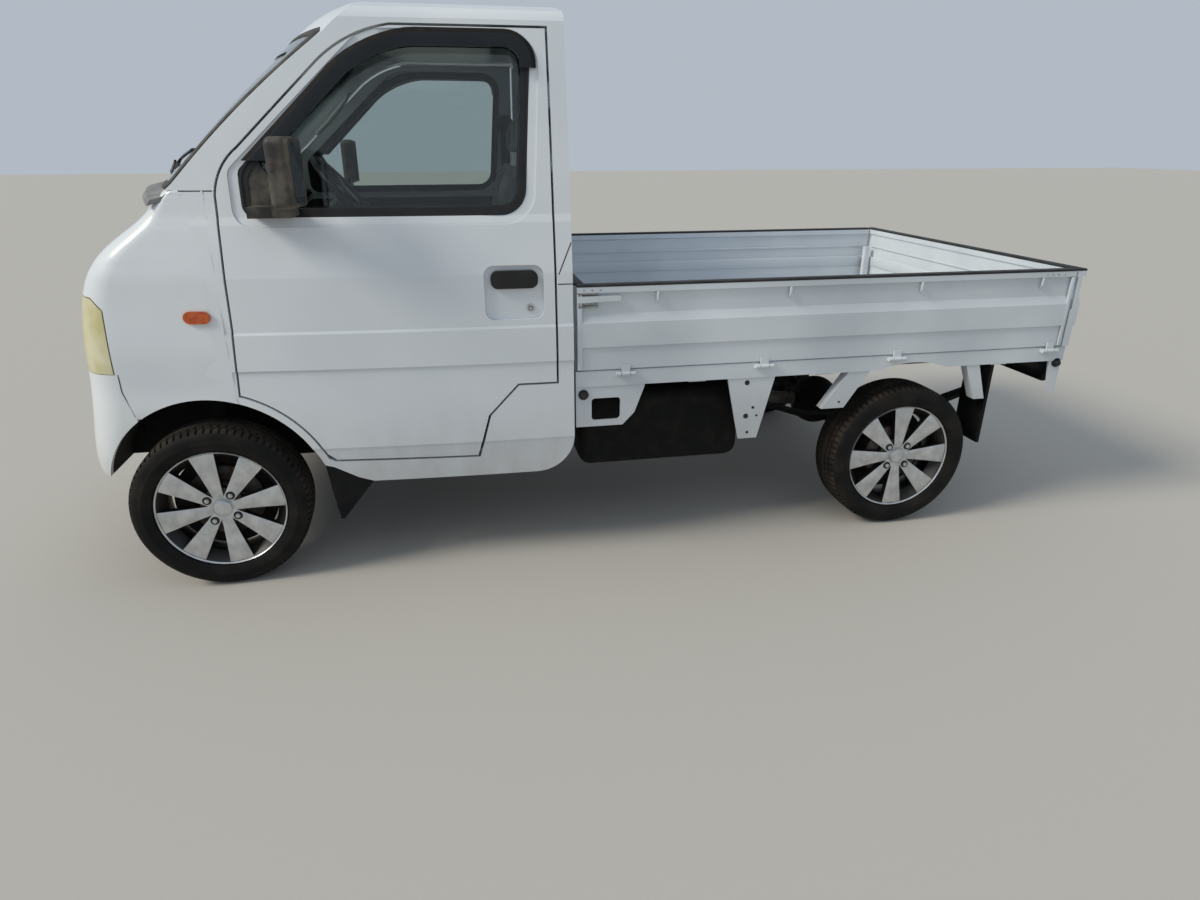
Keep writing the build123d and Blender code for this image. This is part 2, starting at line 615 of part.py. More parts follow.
# Knuckles: upright, stub axle, brake caliper and the strut's lower tube
stub = rod(0, -635, AXLE_Z, 18, 110, "Y")
upright = block(-34, 34, -590, -562, 165, 372) + stub + rod(0, -575, AXLE_Z, 50, 40, "Y")
caliper = block(-138, -84, -665, -600, AXLE_Z - 46, AXLE_Z + 46)
caliper -= rod(0, -(TRACK / 2 - 17), AXLE_Z, DISC_RADIUS + 4, 22, "Y")
caliper_arm = block(-138, -30, -604, -578, AXLE_Z - 20, AXLE_Z + 20)
knuckle = upright + caliper + caliper_arm
strut_tube = along(KINGPIN_LOW, 250, 25, first=180) + along(KINGPIN_LOW, 6, 46, first=424)
strut_tube = strut_tube - along(KINGPIN_LOW, 60, 13, first=405)
ball_joint = along(KINGPIN_LOW, 50, 18, first=-9)
left_knuckle = steer(knuckle, -1) + strut_tube + ball_joint
right_knuckle = steer(mirror(knuckle, Plane.XZ), 1) + mirror(strut_tube + ball_joint, Plane.XZ)
save("knuckle_left", left_knuckle)
save("knuckle_right", right_knuckle)

# Rear axle on leaf springs
axle = rod(WHEELBASE, 0, AXLE_Z, AXLE_TUBE, 2 * 585, "Y") + Pos(WHEELBASE, 0, AXLE_Z) * Sphere(DIFF_RADIUS)
rear_stub = rod(WHEELBASE, 0, AXLE_Z, 18, 2 * (TRACK / 2 + 45), "Y")
backing = rod(WHEELBASE, -588, AXLE_Z, 92, 6, "Y") + rod(WHEELBASE, 588, AXLE_Z, 92, 6, "Y")
save("rear_axle", axle + rear_stub + backing)
SPRING_Y = 430
leaf_foot = [(1850, 430), (2100, 345), (2350, 312), (2600, 345), (2850, 430)]
leaf_top = [(2850, 440), (2600, 365), (2350, 336), (2100, 365), (1850, 440)]
leaf = prism(leaf_foot + leaf_top, -SPRING_Y - 25, -SPRING_Y + 25)
leaf = leaf + rod(1850, -SPRING_Y, 437, 18, 50, "Y") + rod(2850, -SPRING_Y, 437, 18, 50, "Y")
hanger = block(1825, 1875, -SPRING_Y - 30, -RAIL_Y - RAIL_WIDE / 2, 420, 600)
hanger += block(2825, 2875, -SPRING_Y - 30, -RAIL_Y - RAIL_WIDE / 2, 420, 600)
saddle = block(2310, 2390, -SPRING_Y - 30, -SPRING_Y + 30, 296, 314)
save("leaf_springs", *both((leaf + hanger + saddle) - axle))

# Fuel tank on the left and exhaust on the right
tank = block(1165, 1745, -645, -400, 292, 560)
tank = fillet(tank.edges(), 45)
save("fuel_tank", tank + block(1450, 1700, -560, -RAIL_Y - RAIL_WIDE / 2, 540, 600))
muffler = Pos(1590, 480, 400) * Rot(0, 90, 0) * Cylinder(70, 420)
tail_pipe = rod(2020, 480, 400, 18, 340, "X") + block(1600, 1640, RAIL_Y + RAIL_WIDE / 2, 500, 440, 600)
save("exhaust", muffler + tail_pipe)

# Bed floor with cross ribs, side sills cut over the rear wheels
SILL_OUT_Y = 718
GATE_OUT_Y = 729
GATE_FRONT_X = 1148
TAIL_OUT_X = BED_TAIL_X - 9
bed_under = BED_FLOOR_Z - BED_FLOOR_THICK
bed = block(BED_FRONT_X, TAIL_OUT_X - 38, -SILL_OUT_Y, SILL_OUT_Y, bed_under, BED_FLOOR_Z)
sill = block(BED_FRONT_X, TAIL_OUT_X - 8, -SILL_OUT_Y, -SILL_OUT_Y + 30, SILL_BOTTOM_Z, bed_under)
sill = sill - rod(WHEELBASE, -SILL_OUT_Y, AXLE_Z + 8, 355, 100, "Y")
rear_beam = block(TAIL_OUT_X - 40, TAIL_OUT_X - 8, -SILL_OUT_Y, SILL_OUT_Y, SILL_BOTTOM_Z, BED_FLOOR_Z)
bed = bed + sill + mirror(sill, Plane.XZ) + rear_beam
for x in (1180, 1560, 2020, 2700):
    bed += block(x - 30, x + 30, -700, 700, 600, bed_under)
# Ribs along the floor
RIB_HEIGHT = 4
RIB_PITCH = 140
for number in range(-4, 4):
    y = (number + 0.5) * RIB_PITCH
    bed += block(1185, 2865, y - 22, y + 22, BED_FLOOR_Z, BED_FLOOR_Z + RIB_HEIGHT)
front_half = GATE_OUT_Y - GATE_THICK - 6
bed_front = block(BED_FRONT_X, BED_FRONT_X + 30, -front_half, front_half, BED_FLOOR_Z, RAIL_Z)
posts = [block(2880, 2906, side * 660 - 13, side * 660 + 13, BED_FLOOR_Z, 850) for side in (-1, 1)]
save("bed_front_panel", bed_front, *posts)

# Gate section: place across, height
GATE_ROWS = [(0, 665), (0, 735), (8, 741), (8, 818), (-4, 846), (-4, 912), (8, 914), (8, RAIL_Z),
             (-25, RAIL_Z), (-25, 912), (-17, 906), (-17, 800), (-25, 790), (-25, 665)]


side_points = [(0, -(GATE_OUT_Y - 8) - y, z) for y, z in GATE_ROWS]
gate_face = make_face(Polyline(*side_points, close=True))
GATE_REAR_X = TAIL_OUT_X - GATE_THICK - 6
gate_left = Pos(GATE_FRONT_X, 0, 0) * extrude(gate_face, amount=GATE_REAR_X - GATE_FRONT_X, dir=(1, 0, 0))
# Hinge places along each side and across the tail
SIDE_HINGES = [1306, 1784, 2272, 2875]
TAIL_HINGES = [-600, -220, 220, 600]
HINGE_Z = 650
HINGE_OUT = 730 - GATE_OUT_Y
BARREL_RADIUS = 7


def side_hinge(x, moving):
    """Half of a gate hinge on the left side: a middle knuckle that moves, or the two fixed ones."""
    y = -GATE_OUT_Y - HINGE_OUT
    half = BARREL_RADIUS - 1
    if moving:
        leaf = block(x - 14, x + 14, -GATE_OUT_Y, -GATE_OUT_Y + 6, HINGE_Z, 680)
        return rod(x, y, HINGE_Z, BARREL_RADIUS, 28, "X") + leaf
    pieces = []
    for side in (-1, 1):
        leaf = block(x + side * 24 - 8, x + side * 24 + 8, y, -SILL_OUT_Y, HINGE_Z - half, HINGE_Z + half)
        pieces.append(rod(x + side * 24, y, HINGE_Z, BARREL_RADIUS, 16, "X") + leaf)
    return pieces


def tail_turned(shape):
    """A piece of the left side's hinge, turned round to the tail."""
    return Pos(TAIL_OUT_X, 0, 0) * Rot(0, 0, 90) * Pos(0, GATE_OUT_Y, 0) * shape


gate_left += [side_hinge(x, True) for x in SIDE_HINGES]
lever_points = [(1150, 884), (1288, 888), (1288, 904), (1150, 904)]
gate_left += rounded(lever_points, [6] * 4, -GATE_OUT_Y - 4, -GATE_OUT_Y + 14)
save("gate_left", gate_left)
save("gate_right", mirror(gate_left, Plane.XZ))
tail_points = [(TAIL_OUT_X - 8 + y, 0, z) for y, z in GATE_ROWS]
tail_face = make_face(Polyline(*tail_points, close=True))
tailgate = Pos(0, -GATE_OUT_Y, 0) * extrude(tail_face, amount=2 * GATE_OUT_Y, dir=(0, 1, 0))
tailgate += [tail_turned(side_hinge(y, True)) for y in TAIL_HINGES]
save("tailgate", tailgate)
for x in SIDE_HINGES:
    for piece in side_hinge(x, False):
        bed += both(piece)
for y in TAIL_HINGES:
    for piece in side_hinge(y, False):
        bed += tail_turned(piece)
save("bed_floor", bed)

# Brackets and struts under the bed
sill_z = SILL_BOTTOM_Z
FRONT_BRACKET = [(1143, 469), (1300, 469), (1340, 510), (1374, 600), (1374, sill_z), (1143, sill_z)]
plate_out, plate_in = -SILL_OUT_Y + 4, -SILL_OUT_Y + 12
strut_in = plate_in + 30
bracket_hole = rounded([(1195, 490), (1292, 490), (1292, 566), (1195, 566)], [12] * 4, -900, 0)
brackets = [
    prism(FRONT_BRACKET, plate_out, plate_in) - bracket_hole,
    prism([(1663, sill_z), (1833, sill_z), (1781, 388), (1714, 388)], plate_out, plate_in),
    prism([(2105, sill_z), (2185, sill_z), (2100, 478), (2015, 478)], plate_out, strut_in),
    prism([(2560, sill_z), (2612, sill_z), (2655, 478), (2612, 478)], plate_out, strut_in),
    prism([(2895, sill_z), (2945, sill_z), (2945, 491), (2912, 491)], plate_out, plate_in),
]
save("bed_brackets", *[half for part in brackets for half in both(part)])

# Mudflaps: a side guard that continues the sill's slant with a sheet behind it, and one sheet
# under the bed behind each rear wheel
FLAP_Y = 676
guard = prism([*SILL_SLANT, (366, 186), (356, 186), (345, 262)], -FLAP_Y, -FLAP_Y + 8)
sheet = prism([(360, FLOOR_Z), (370, FLOOR_Z), (376, 190), (366, 190)], -612, -520)
rear_flap = prism([(2672, 600), (2684, 600), (2680, 299), (2668, 299)], -700, -560)
save("mudflaps", *both(guard), *both(sheet), *both(rear_flap))

# Tail lamps and the plate beam under the tail
lamp_box = block(TAIL_OUT_X - 60, TAIL_OUT_X - 12, -690, -500, 520, SILL_BOTTOM_Z)
save("tail_lamps", *both(lamp_box))
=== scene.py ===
import json
import math

import bmesh
import bpy
from mathutils import Matrix, Vector
from mathutils.bvhtree import BVHTree

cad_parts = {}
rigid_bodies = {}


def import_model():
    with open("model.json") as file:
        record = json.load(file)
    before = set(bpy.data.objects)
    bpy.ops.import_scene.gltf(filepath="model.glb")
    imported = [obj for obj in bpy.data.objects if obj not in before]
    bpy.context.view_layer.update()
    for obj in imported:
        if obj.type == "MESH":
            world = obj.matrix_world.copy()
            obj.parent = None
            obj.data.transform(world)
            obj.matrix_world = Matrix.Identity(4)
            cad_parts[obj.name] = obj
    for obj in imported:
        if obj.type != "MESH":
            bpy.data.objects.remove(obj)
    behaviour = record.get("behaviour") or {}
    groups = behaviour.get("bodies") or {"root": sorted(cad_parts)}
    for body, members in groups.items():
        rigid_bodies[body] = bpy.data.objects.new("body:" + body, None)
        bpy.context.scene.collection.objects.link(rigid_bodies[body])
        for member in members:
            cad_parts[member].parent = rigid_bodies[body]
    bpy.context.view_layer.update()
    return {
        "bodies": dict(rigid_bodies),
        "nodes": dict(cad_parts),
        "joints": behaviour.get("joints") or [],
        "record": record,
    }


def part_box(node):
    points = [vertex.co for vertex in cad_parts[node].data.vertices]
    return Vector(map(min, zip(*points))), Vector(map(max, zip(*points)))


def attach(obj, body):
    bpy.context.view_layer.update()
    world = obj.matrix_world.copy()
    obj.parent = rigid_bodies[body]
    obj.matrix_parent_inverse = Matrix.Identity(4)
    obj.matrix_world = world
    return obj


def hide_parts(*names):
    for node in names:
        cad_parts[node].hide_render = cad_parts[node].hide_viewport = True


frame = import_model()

wheel_joints = {joint["child"]: joint for joint in frame["joints"] if joint["child"].startswith("wheel_")}

# The view: a wide phone lens, held at head height beside the truck's left side and
# tipped down, as the photograph was taken. The angles and place come from a fit of
# the truck's own corners; lengths are in metres.
EYE = (-0.499, -3.079, 1.344)
YAW_RIGHT, PITCH_DOWN = 0.19, 0.38
LENS_MM, SENSOR_MM = 22.99, 36
camera_data = bpy.data.cameras.new("view")
camera_data.lens = LENS_MM
camera_data.sensor_width = SENSOR_MM


def new_object(name, data):
    """An object of given data, linked to the scene."""
    made = bpy.data.objects.new(name, data)
    bpy.context.scene.collection.objects.link(made)
    return made


camera = new_object("view", camera_data)
camera.location = EYE
camera.rotation_euler = (math.pi / 2 - PITCH_DOWN, 0, -YAW_RIGHT)
bpy.context.scene.camera = camera
bpy.context.scene.view_settings.view_transform = "Standard"

# Painted steel panels: the cab's pressings and doors, stamped from thin sheet, spot
# welded and sprayed with white enamel. The gloss has dulled with age, and dust from
# the road lies on the lowest part of every panel.
PEEL_MM, PEEL_DEEP_MM = 2.5, 0.02
SHADE_MM = 450
STREAK_MM = 60
DUST_TOP, DUST_FOOT = 0.62, 0.30
cab_panels = ["front_panel", "front_bumper", "cab_side_left", "cab_side_right", "roof", "rear_panel",
              "door_left", "door_right"]


def linear(code):
    """A linear colour from an sRGB hex code."""
    parts = [int(code[i:i + 2], 16) / 255 for i in (1, 3, 5)]
    return tuple(p / 12.92 if p <= 0.04045 else ((p + 0.055) / 1.055) ** 2.4 for p in parts) + (1,)


def node(tree, kind, links=(), **settings):
    """Add a shader node with its settings, and link its sockets from others."""
    made = tree.nodes.new(kind)
    for name, value in settings.items():
        label = name.replace("_", " ")
        if label in made.inputs:
            made.inputs[label].default_value = value
        else:
            setattr(made, name, value)
    for socket, source in dict(links).items():
        tree.links.new(source, made.inputs[socket])
    return made


def new_finish(name, color, rough, **sockets):
    """A material of a finish's plain values, and the nodes that its patterns start from."""
    material = bpy.data.materials.new(name)
    material.use_nodes = True
    tree = material.node_tree
    shader = tree.nodes["Principled BSDF"]
    shader.inputs["Base Color"].default_value = linear(color)
    shader.inputs["Roughness"].default_value = rough
    for socket, value in sockets.items():
        shader.inputs[socket.replace("_", " ")].default_value = value
    return material, tree, shader, node(tree, "ShaderNodeTexCoord")


def mottle(tree, shader, place, first, second, size_mm, low=0.35, high=0.65, detail=4.0):
    """Colour that wanders between two shades in soft patches of a real size."""
    patches = node(tree, "ShaderNodeTexNoise", {"Vector": place.outputs["Object"]}, Scale=1000 / size_mm,
                   Detail=detail)
    share = node(tree, "ShaderNodeMapRange", {"Value": patches.outputs["Fac"]}, From_Min=low, From_Max=high)
    blend = node(tree, "ShaderNodeMix", {"Factor": share.outputs["Result"]}, data_type="RGBA")
    blend.inputs[6].default_value = linear(first)
    blend.inputs[7].default_value = linear(second)
    tree.links.new(blend.outputs[2], shader.inputs["Base Color"])
    return blend


def grain(tree, shader, place, size_mm, depth_mm):
    """A fine bump of a real grain size and depth."""
    fine = node(tree, "ShaderNodeTexNoise", {"Vector": place.outputs["Object"]}, Scale=1000 / size_mm,
                Detail=2.0)
    bump = node(tree, "ShaderNodeBump", {"Height": fine.outputs["Fac"]}, Distance=depth_mm / 1000,
                Strength=0.6)
    tree.links.new(bump.outputs["Normal"], shader.inputs["Normal"])


def haze(tree, shader, place, scale, detail, low, high, start=0.0):
    """Roughness that varies in patches, as wiping, dust or lathe work leaves it."""
    film = node(tree, "ShaderNodeTexNoise", {"Vector": place.outputs["Object"]}, Scale=scale, Detail=detail)
    share = node(tree, "ShaderNodeMapRange", {"Value": film.outputs["Fac"]}, From_Min=start, To_Min=low,
                 To_Max=high)
    tree.links.new(share.outputs["Result"], shader.inputs["Roughness"])


def ridges(tree, shader, place, direction, scale, depth_mm, strength, distortion=0.0):
    """Even ribs or threads that run across a direction."""
    rows = node(tree, "ShaderNodeTexWave", {"Vector": place.outputs["Object"]}, bands_direction=direction,
                Scale=scale, Distortion=distortion)
    bump = node(tree, "ShaderNodeBump", {"Height": rows.outputs["Fac"]}, Distance=depth_mm / 1000,
                Strength=strength)
    tree.links.new(bump.outputs["Normal"], shader.inputs["Normal"])


def surface(name, color, rough, shades, size_mm, spread=(0.35, 0.65, 4.0), grit=None, **sockets):
    """A material in patches of two shades, with a grain of a given size and depth."""
    material, tree, shader, place = new_finish(name, color, rough, **sockets)
    mottle(tree, shader, place, *shades, size_mm, *spread)
    if grit:
        grain(tree, shader, place, *grit)
    return material


def dusty_paint(name, color, shade, dust, share, rough):
    """White enamel with a slight unevenness, and dust that thickens towards the ground."""
    material, tree, shader, place = new_finish(name, color, rough, Coat_Weight=0.35, Coat_Roughness=0.12)
    blend = mottle(tree, shader, place, color, shade, SHADE_MM, detail=3.0)
    grain(tree, shader, place, PEEL_MM, PEEL_DEEP_MM)
    split = node(tree, "ShaderNodeSeparateXYZ", {"Vector": place.outputs["Object"]})
    low = node(tree, "ShaderNodeMapRange", {"Value": split.outputs["Z"]}, From_Min=DUST_TOP,
               From_Max=DUST_FOOT, To_Min=0.0, To_Max=share)
    streaks = node(tree, "ShaderNodeMapping", {"Vector": place.outputs["Object"]})
    streaks.inputs["Scale"].default_value = (1000 / STREAK_MM, 1000 / STREAK_MM, 250 / STREAK_MM)
    grime = node(tree, "ShaderNodeTexNoise", {"Vector": streaks.outputs["Vector"]}, Scale=1.0, Detail=6.0)
    lay = node(tree, "ShaderNodeMath", {0: low.outputs["Result"], 1: grime.outputs["Fac"]},
               operation="MULTIPLY")
    dirt = node(tree, "ShaderNodeMix", {"Factor": lay.outputs[0], 6: blend.outputs[2]}, data_type="RGBA")
    dirt.inputs[7].default_value = linear(dust)
    tree.links.new(dirt.outputs[2], shader.inputs["Base Color"])
    return material


def dress(names, material):
    """Give a finish to carried-over CAD nodes."""
    for name in names:
        for slot in bpy.data.objects[name].material_slots:
            slot.material = material


white_enamel = dusty_paint("white_enamel_on_steel", "#dfe4e8", "#d6dce2", "#8d8577", 0.55, 0.27)
dress(cab_panels, white_enamel)

# The load bed: folded and spot-welded sheet, sprayed with the same enamel in a thinner
# coat. Loads have scuffed it, so it is duller and greyer than the cab.
bed_enamel = dusty_paint("worn_white_enamel_on_steel", "#d9dfe4", "#c6cdd3", "#857b6b", 0.75, 0.4)
dress(["bed_floor", "bed_front_panel", "gate_left", "gate_right", "tailgate", "bed_brackets"], bed_enamel)

# Places on the truck are given in millimetres, as they were measured: behind the front
# axle, to the truck's right of the middle, and above the ground.
WHEELBASE = 2.35
rear_low, rear_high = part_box("tyre_rear_left")
front_axle_x = (rear_low.x + rear_high.x) / 2 - WHEELBASE
LEFT, RIGHT = -1, 1
SIDES = ((LEFT, "left"), (RIGHT, "right"))


def spot(x, y, z):
    """A point in the frame from its measured place."""
    return Vector((x / 1000 + front_axle_x, y / 1000, z / 1000))


WAIST_Z, WAIST_HALF = 1150, 705
STEP_HIGH, STEP_OUT = 22, 7
SWELL_HIGH, SWELL_OUT = 148, 19
CAB_REAR_X, PLAN_CURVE = 1135, 19000


def half_width(x, z):
    """How far the cab's side stands from the middle, by its plan curve and its lean above the waist."""
    rise = max(z - WAIST_Z, 0)
    step = min(max((WAIST_Z - z) / STEP_HIGH, 0), 1)
    swell = min(max((WAIST_Z - STEP_HIGH - z) / SWELL_HIGH, 0), 1)
    below = STEP_OUT * step + SWELL_OUT * swell
    return WAIST_HALF + below - 0.1012 * rise - 9.16e-5 * rise**2 - (CAB_REAR_X - x) ** 2 / PLAN_CURVE


def hang(name, mesh, body):
    """Put a smooth-shaded mesh into the scene as a piece that rides on a body."""
    mesh.polygons.foreach_set("use_smooth", [True] * len(mesh.polygons))
    piece = new_object(name, mesh)
    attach(piece, body)
    return piece


def add_piece(name, shape, finishes, body, smooth_deg=35):
    """Make a piece of a finished bmesh, whose faces are turned outward, and let it ride on a body."""
    bmesh.ops.recalc_face_normals(shape, faces=shape.faces)
    mesh = bpy.data.meshes.new(name)
    shape.to_mesh(mesh)
    shape.free()
    for finish in finishes:
        mesh.materials.append(finish)
    piece = hang(name, mesh, body)
    mesh.set_sharp_from_angle(angle=math.radians(smooth_deg))
    return piece


def new_verts(made):
    """The corners among what an operator has made."""
    return [part for part in made["geom"] if isinstance(part, bmesh.types.BMVert)]


def ease(shape, edges, radius_mm, segments=2):
    """Round edges off as a press or a mould leaves them."""
    bmesh.ops.bevel(shape, geom=list(edges), offset=radius_mm / 1000, offset_type="OFFSET", segments=segments,
                    profile=0.5, affect="EDGES", material=-1, clamp_overlap=True)


def finish_new(shape, before, slot):
    """Give the faces that weren't there before one of the piece's finishes."""
    new_faces = [f for f in shape.faces if f not in before]
    for f in new_faces:
        f.material_index = slot
    return new_faces


def thicken(shape, faces, depth):
    """Give flat faces a wall along a direction in millimetres."""
    made = bmesh.ops.extrude_face_region(shape, geom=faces)
    bmesh.ops.translate(shape, verts=new_verts(made), vec=Vector(depth) / 1000)


def plate(shape, corners, depth, ease_mm=0.0, slot=0, segments=2):
    """Draw an outline of measured corners out by a depth in millimetres, with eased edges."""
    before = set(shape.faces)
    face = shape.faces.new([shape.verts.new(spot(*corner)) for corner in corners])
    thicken(shape, [face], depth)
    new_faces = finish_new(shape, before, slot)
    if ease_mm:
        ease(shape, {edge for f in new_faces for edge in f.edges}, ease_mm, segments)


def bar(shape, start, end, radius, sides, radius_end=None, slot=0):
    """A round bar between two measured points."""
    first, last = spot(*start), spot(*end)
    way = last - first
    turn = way.to_track_quat("Z", "Y").to_matrix().to_4x4()
    before = set(shape.faces)
    bmesh.ops.create_cone(shape, cap_ends=True, segments=sides, radius1=radius / 1000,
                          radius2=(radius if radius_end is None else radius_end) / 1000, depth=way.length,
                          matrix=Matrix.Translation((first + last) / 2) @ turn)
    finish_new(shape, before, slot)


def tube(name, points, radius, finish, body):
    """A bent round tube that follows measured points."""
    curve = bpy.data.curves.new(name, "CURVE")
    curve.dimensions = "3D"
    curve.bevel_depth = radius / 1000
    curve.bevel_resolution = 3
    curve.use_fill_caps = True
    line = curve.splines.new("NURBS")
    line.points.add(len(points) - 1)
    for point, place in zip(line.points, points):
        point.co = (*spot(*place), 1)
    line.use_endpoint_u = True
    line.order_u = 4
    line.resolution_u = 6
    rough = bpy.data.objects.new(name + "_line", curve)
    mesh = bpy.data.meshes.new_from_object(rough)
    bpy.data.objects.remove(rough)
    mesh.name = name
    mesh.materials.clear()
    mesh.materials.append(finish)
    hang(name, mesh, body)


# Nose and fenders: one steel pressing, whose sides run flush into the windscreen pillars
# and the doors. Seams between the pressings are dark lines of shadow and old sealer.
FENDER_END = 100
FLUSH_FROM, FLUSH_SKIN_MM = 50, 6
FLUSH = [(990, 0), (1020, -2.3), (1055, -1.2), (1069, 0.1), (1083, 2), (1097, 3.8), (1118, 5.2), (1139, 1.2),
         (1153, -4.1), (1167, -8.1), (1181, -11.7), (1195, -13.5), (1209, -11), (1223, 0)]
SEAM_WIDE, SEAM_STEP = 3.2, 12
seam_dark = surface("shadowed_seam_sealer", "#2a2c2f", 0.8, ("#1d1f22", "#3a3b3c"), 25)
cad_nose = bpy.data.objects["front_panel"]
shape = bmesh.new()
shape.from_mesh(cad_nose.data)
shape.transform(cad_nose.matrix_world)
bmesh.ops.remove_doubles(shape, verts=shape.verts, dist=1e-5)
for vert in shape.verts:
    x, z = (vert.co.x - front_axle_x) * 1000, vert.co.z * 1000
    if x > FENDER_END + 0.2 or z < FLUSH[0][0]:
        continue
    move = next((m0 + (m1 - m0) * (z - z0) / (z1 - z0)
                 for (z0, m0), (z1, m1) in zip(FLUSH, FLUSH[1:]) if z <= z1), 0)
    flush_at = half_width(FENDER_END, z)
    if x > FENDER_END - 0.2 and abs(abs(vert.co.y) * 1000 - flush_at) < 0.8:
        continue
    vert.co.y *= 1 + move / (flush_at - move)
nose_piece = add_piece("nose_and_fenders", shape, [white_enamel], "root", 24)
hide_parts("front_panel")
smooth_dirs = []
for f in nose_piece.data.polygons:
    x, z = (f.center.x - front_axle_x) * 1000, f.center.z * 1000
    side = LEFT if f.center.y < 0 else RIGHT
    outer = abs(f.center.y) * 1000 > half_width(x, z) - FLUSH_SKIN_MM
    on_side = x > FLUSH_FROM and abs(f.normal.y) > 0.85 and outer
    for corner in f.vertices:
        place = nose_piece.data.vertices[corner].co
        x, z = (place.x - front_axle_x) * 1000, place.z * 1000
        rear, up = half_width(x + 1, z) - half_width(x - 1, z), half_width(x, z + 6) - half_width(x, z - 6)
        smooth_dirs.append(Vector((-rear / 2, side, -up / 12)).normalized() if on_side else Vector())
nose_piece.data.normals_split_custom_set(smooth_dirs)


def seam(shape, skins, points, side):
    """A dark line along measured places in X and Z, on the outside of the named pressings."""
    graph = bpy.context.evaluated_depsgraph_get()
    trees = [BVHTree.FromObject(bpy.data.objects[name], graph) for name in skins]
    line = []
    for (x0, z0), (x1, z1) in zip(points, points[1:]):
        count = max(round(math.hypot(x1 - x0, z1 - z0) / SEAM_STEP), 1)
        line += [(x0 + (x1 - x0) * k / count, z0 + (z1 - z0) * k / count) for k in range(count)]
    line.append(points[-1])
    rows = []
    for k, (x, z) in enumerate(line):
        (xa, za), (xb, zb) = line[max(k - 1, 0)], line[min(k + 1, len(line) - 1)]
        way = Vector((xb - xa, zb - za)).normalized() * SEAM_WIDE / 2
        pair = []
        for px, pz in ((x - way.y, z + way.x), (x + way.y, z - way.x)):
            start = spot(px, side * 900, pz)
            hits = [tree.ray_cast(start, Vector((0, -side, 0)), 0.6)[0] for tree in trees]
            outer = max([side * hit.y for hit in hits if hit] or [0])
            pair.append(Vector((start.x, side * (outer + 0.0004), start.z)) if outer else None)
        rows.append(pair if all(pair) else None)
    for first, second in zip(rows, rows[1:]):
        if first and second:
            face = shape.faces.new([shape.verts.new(place) for place in (*first, *second[::-1])])
            thicken(shape, [face], (0, -side, 0))


shape = bmesh.new()
for side, word in SIDES:
    seam(shape, ["nose_and_fenders", "roof"], [(34, 1221), (126, 1221)], side)
    seam(shape, ["nose_and_fenders", "front_bumper"], [(-330, 703), (-229, 703), (-230, 648), (-205, 556)],
         side)
    for points in ([(1092, 974), (1133, 1067)], [(1089, 945), (1134, 945)]):
        seam(shape, ["cab_side_" + word, "rear_panel"], points, side)
add_piece("panel_seams", shape, [seam_dark], "root")

# Side windows: tempered glass in a black rubber channel, pressed into the door frame.
# A rounded quarter of black plastic fills the front lower corner behind the mirror.
WINDOW = [(200, 0, 1148), (1000, 0, 1148), (1036, 0, 1625), (585, 0, 1625), (200, 0, 1275)]
WINDOW_ROUND = [35, 75, 80, 130, 30]
glass, tree, shader, place = new_finish("clear_tempered_glass", "#d3dcda", 0.0, Transmission_Weight=1.0,
                                        IOR=1.45)
haze(tree, shader, place, 6.0, 5.0, 0.0, 0.02)
dress(["cab_glass", "door_glass_left", "door_glass_right"], glass)
seal_rubber = surface("black_rubber_seal", "#0c0d0f", 0.5, ("#090a0c", "#16171a"), 30, grit=(1.5, 0.1))


def round_face(shape, corners, radii, segments=8):
    """A flat face through measured corners, each rounded by its radius."""
    before = set(shape.faces)
    verts = [shape.verts.new(spot(*corner)) for corner in corners]
    shape.faces.new(verts)
    for vert, radius in zip(verts, radii):
        bmesh.ops.bevel(shape, geom=[vert], offset=radius / 1000, offset_type="OFFSET", segments=segments,
                        profile=0.5, affect="VERTICES", material=-1)
    return next(f for f in shape.faces if f not in before)


def cut_middle(shape, face, width):
    """Leave only a band along a face's edge."""
    bmesh.ops.inset_region(shape, faces=[face], thickness=width / 1000, use_boundary=True,
                           use_even_offset=True)
    bmesh.ops.delete(shape, geom=[face], context="FACES")


def lay_on_side(verts, side, proud):
    """Move flat points onto the cab's side, standing proud of it in millimetres."""
    for vert in verts:
        x, z = (vert.co.x - front_axle_x) * 1000, vert.co.z * 1000
        vert.co.y = side * (half_width(x, z) + proud) / 1000


def window_frame(name, side, points, radii, width, proud, thick, finish):
    """A band that follows an outline round the side window, laid on the door."""
    shape = bmesh.new()
    cut_middle(shape, round_face(shape, points, radii), width)
    lay_on_side(shape.verts, side, proud)
    thicken(shape, shape.faces[:], (0, -side * thick, 0))
    add_piece(name, shape, [finish], "door_left" if side == LEFT else "door_right")


for side, word in SIDES:
    window_frame("window_seal_" + word, side, WINDOW, WINDOW_ROUND, 24, -6, 22, seal_rubber)
    window_frame("window_seal_lip_" + word, side, WINDOW, WINDOW_ROUND, 8, -3, 8, seal_rubber)
    window_frame("inner_window_seal_" + word, side, WINDOW, WINDOW_ROUND, 26, -43, 8, seal_rubber)

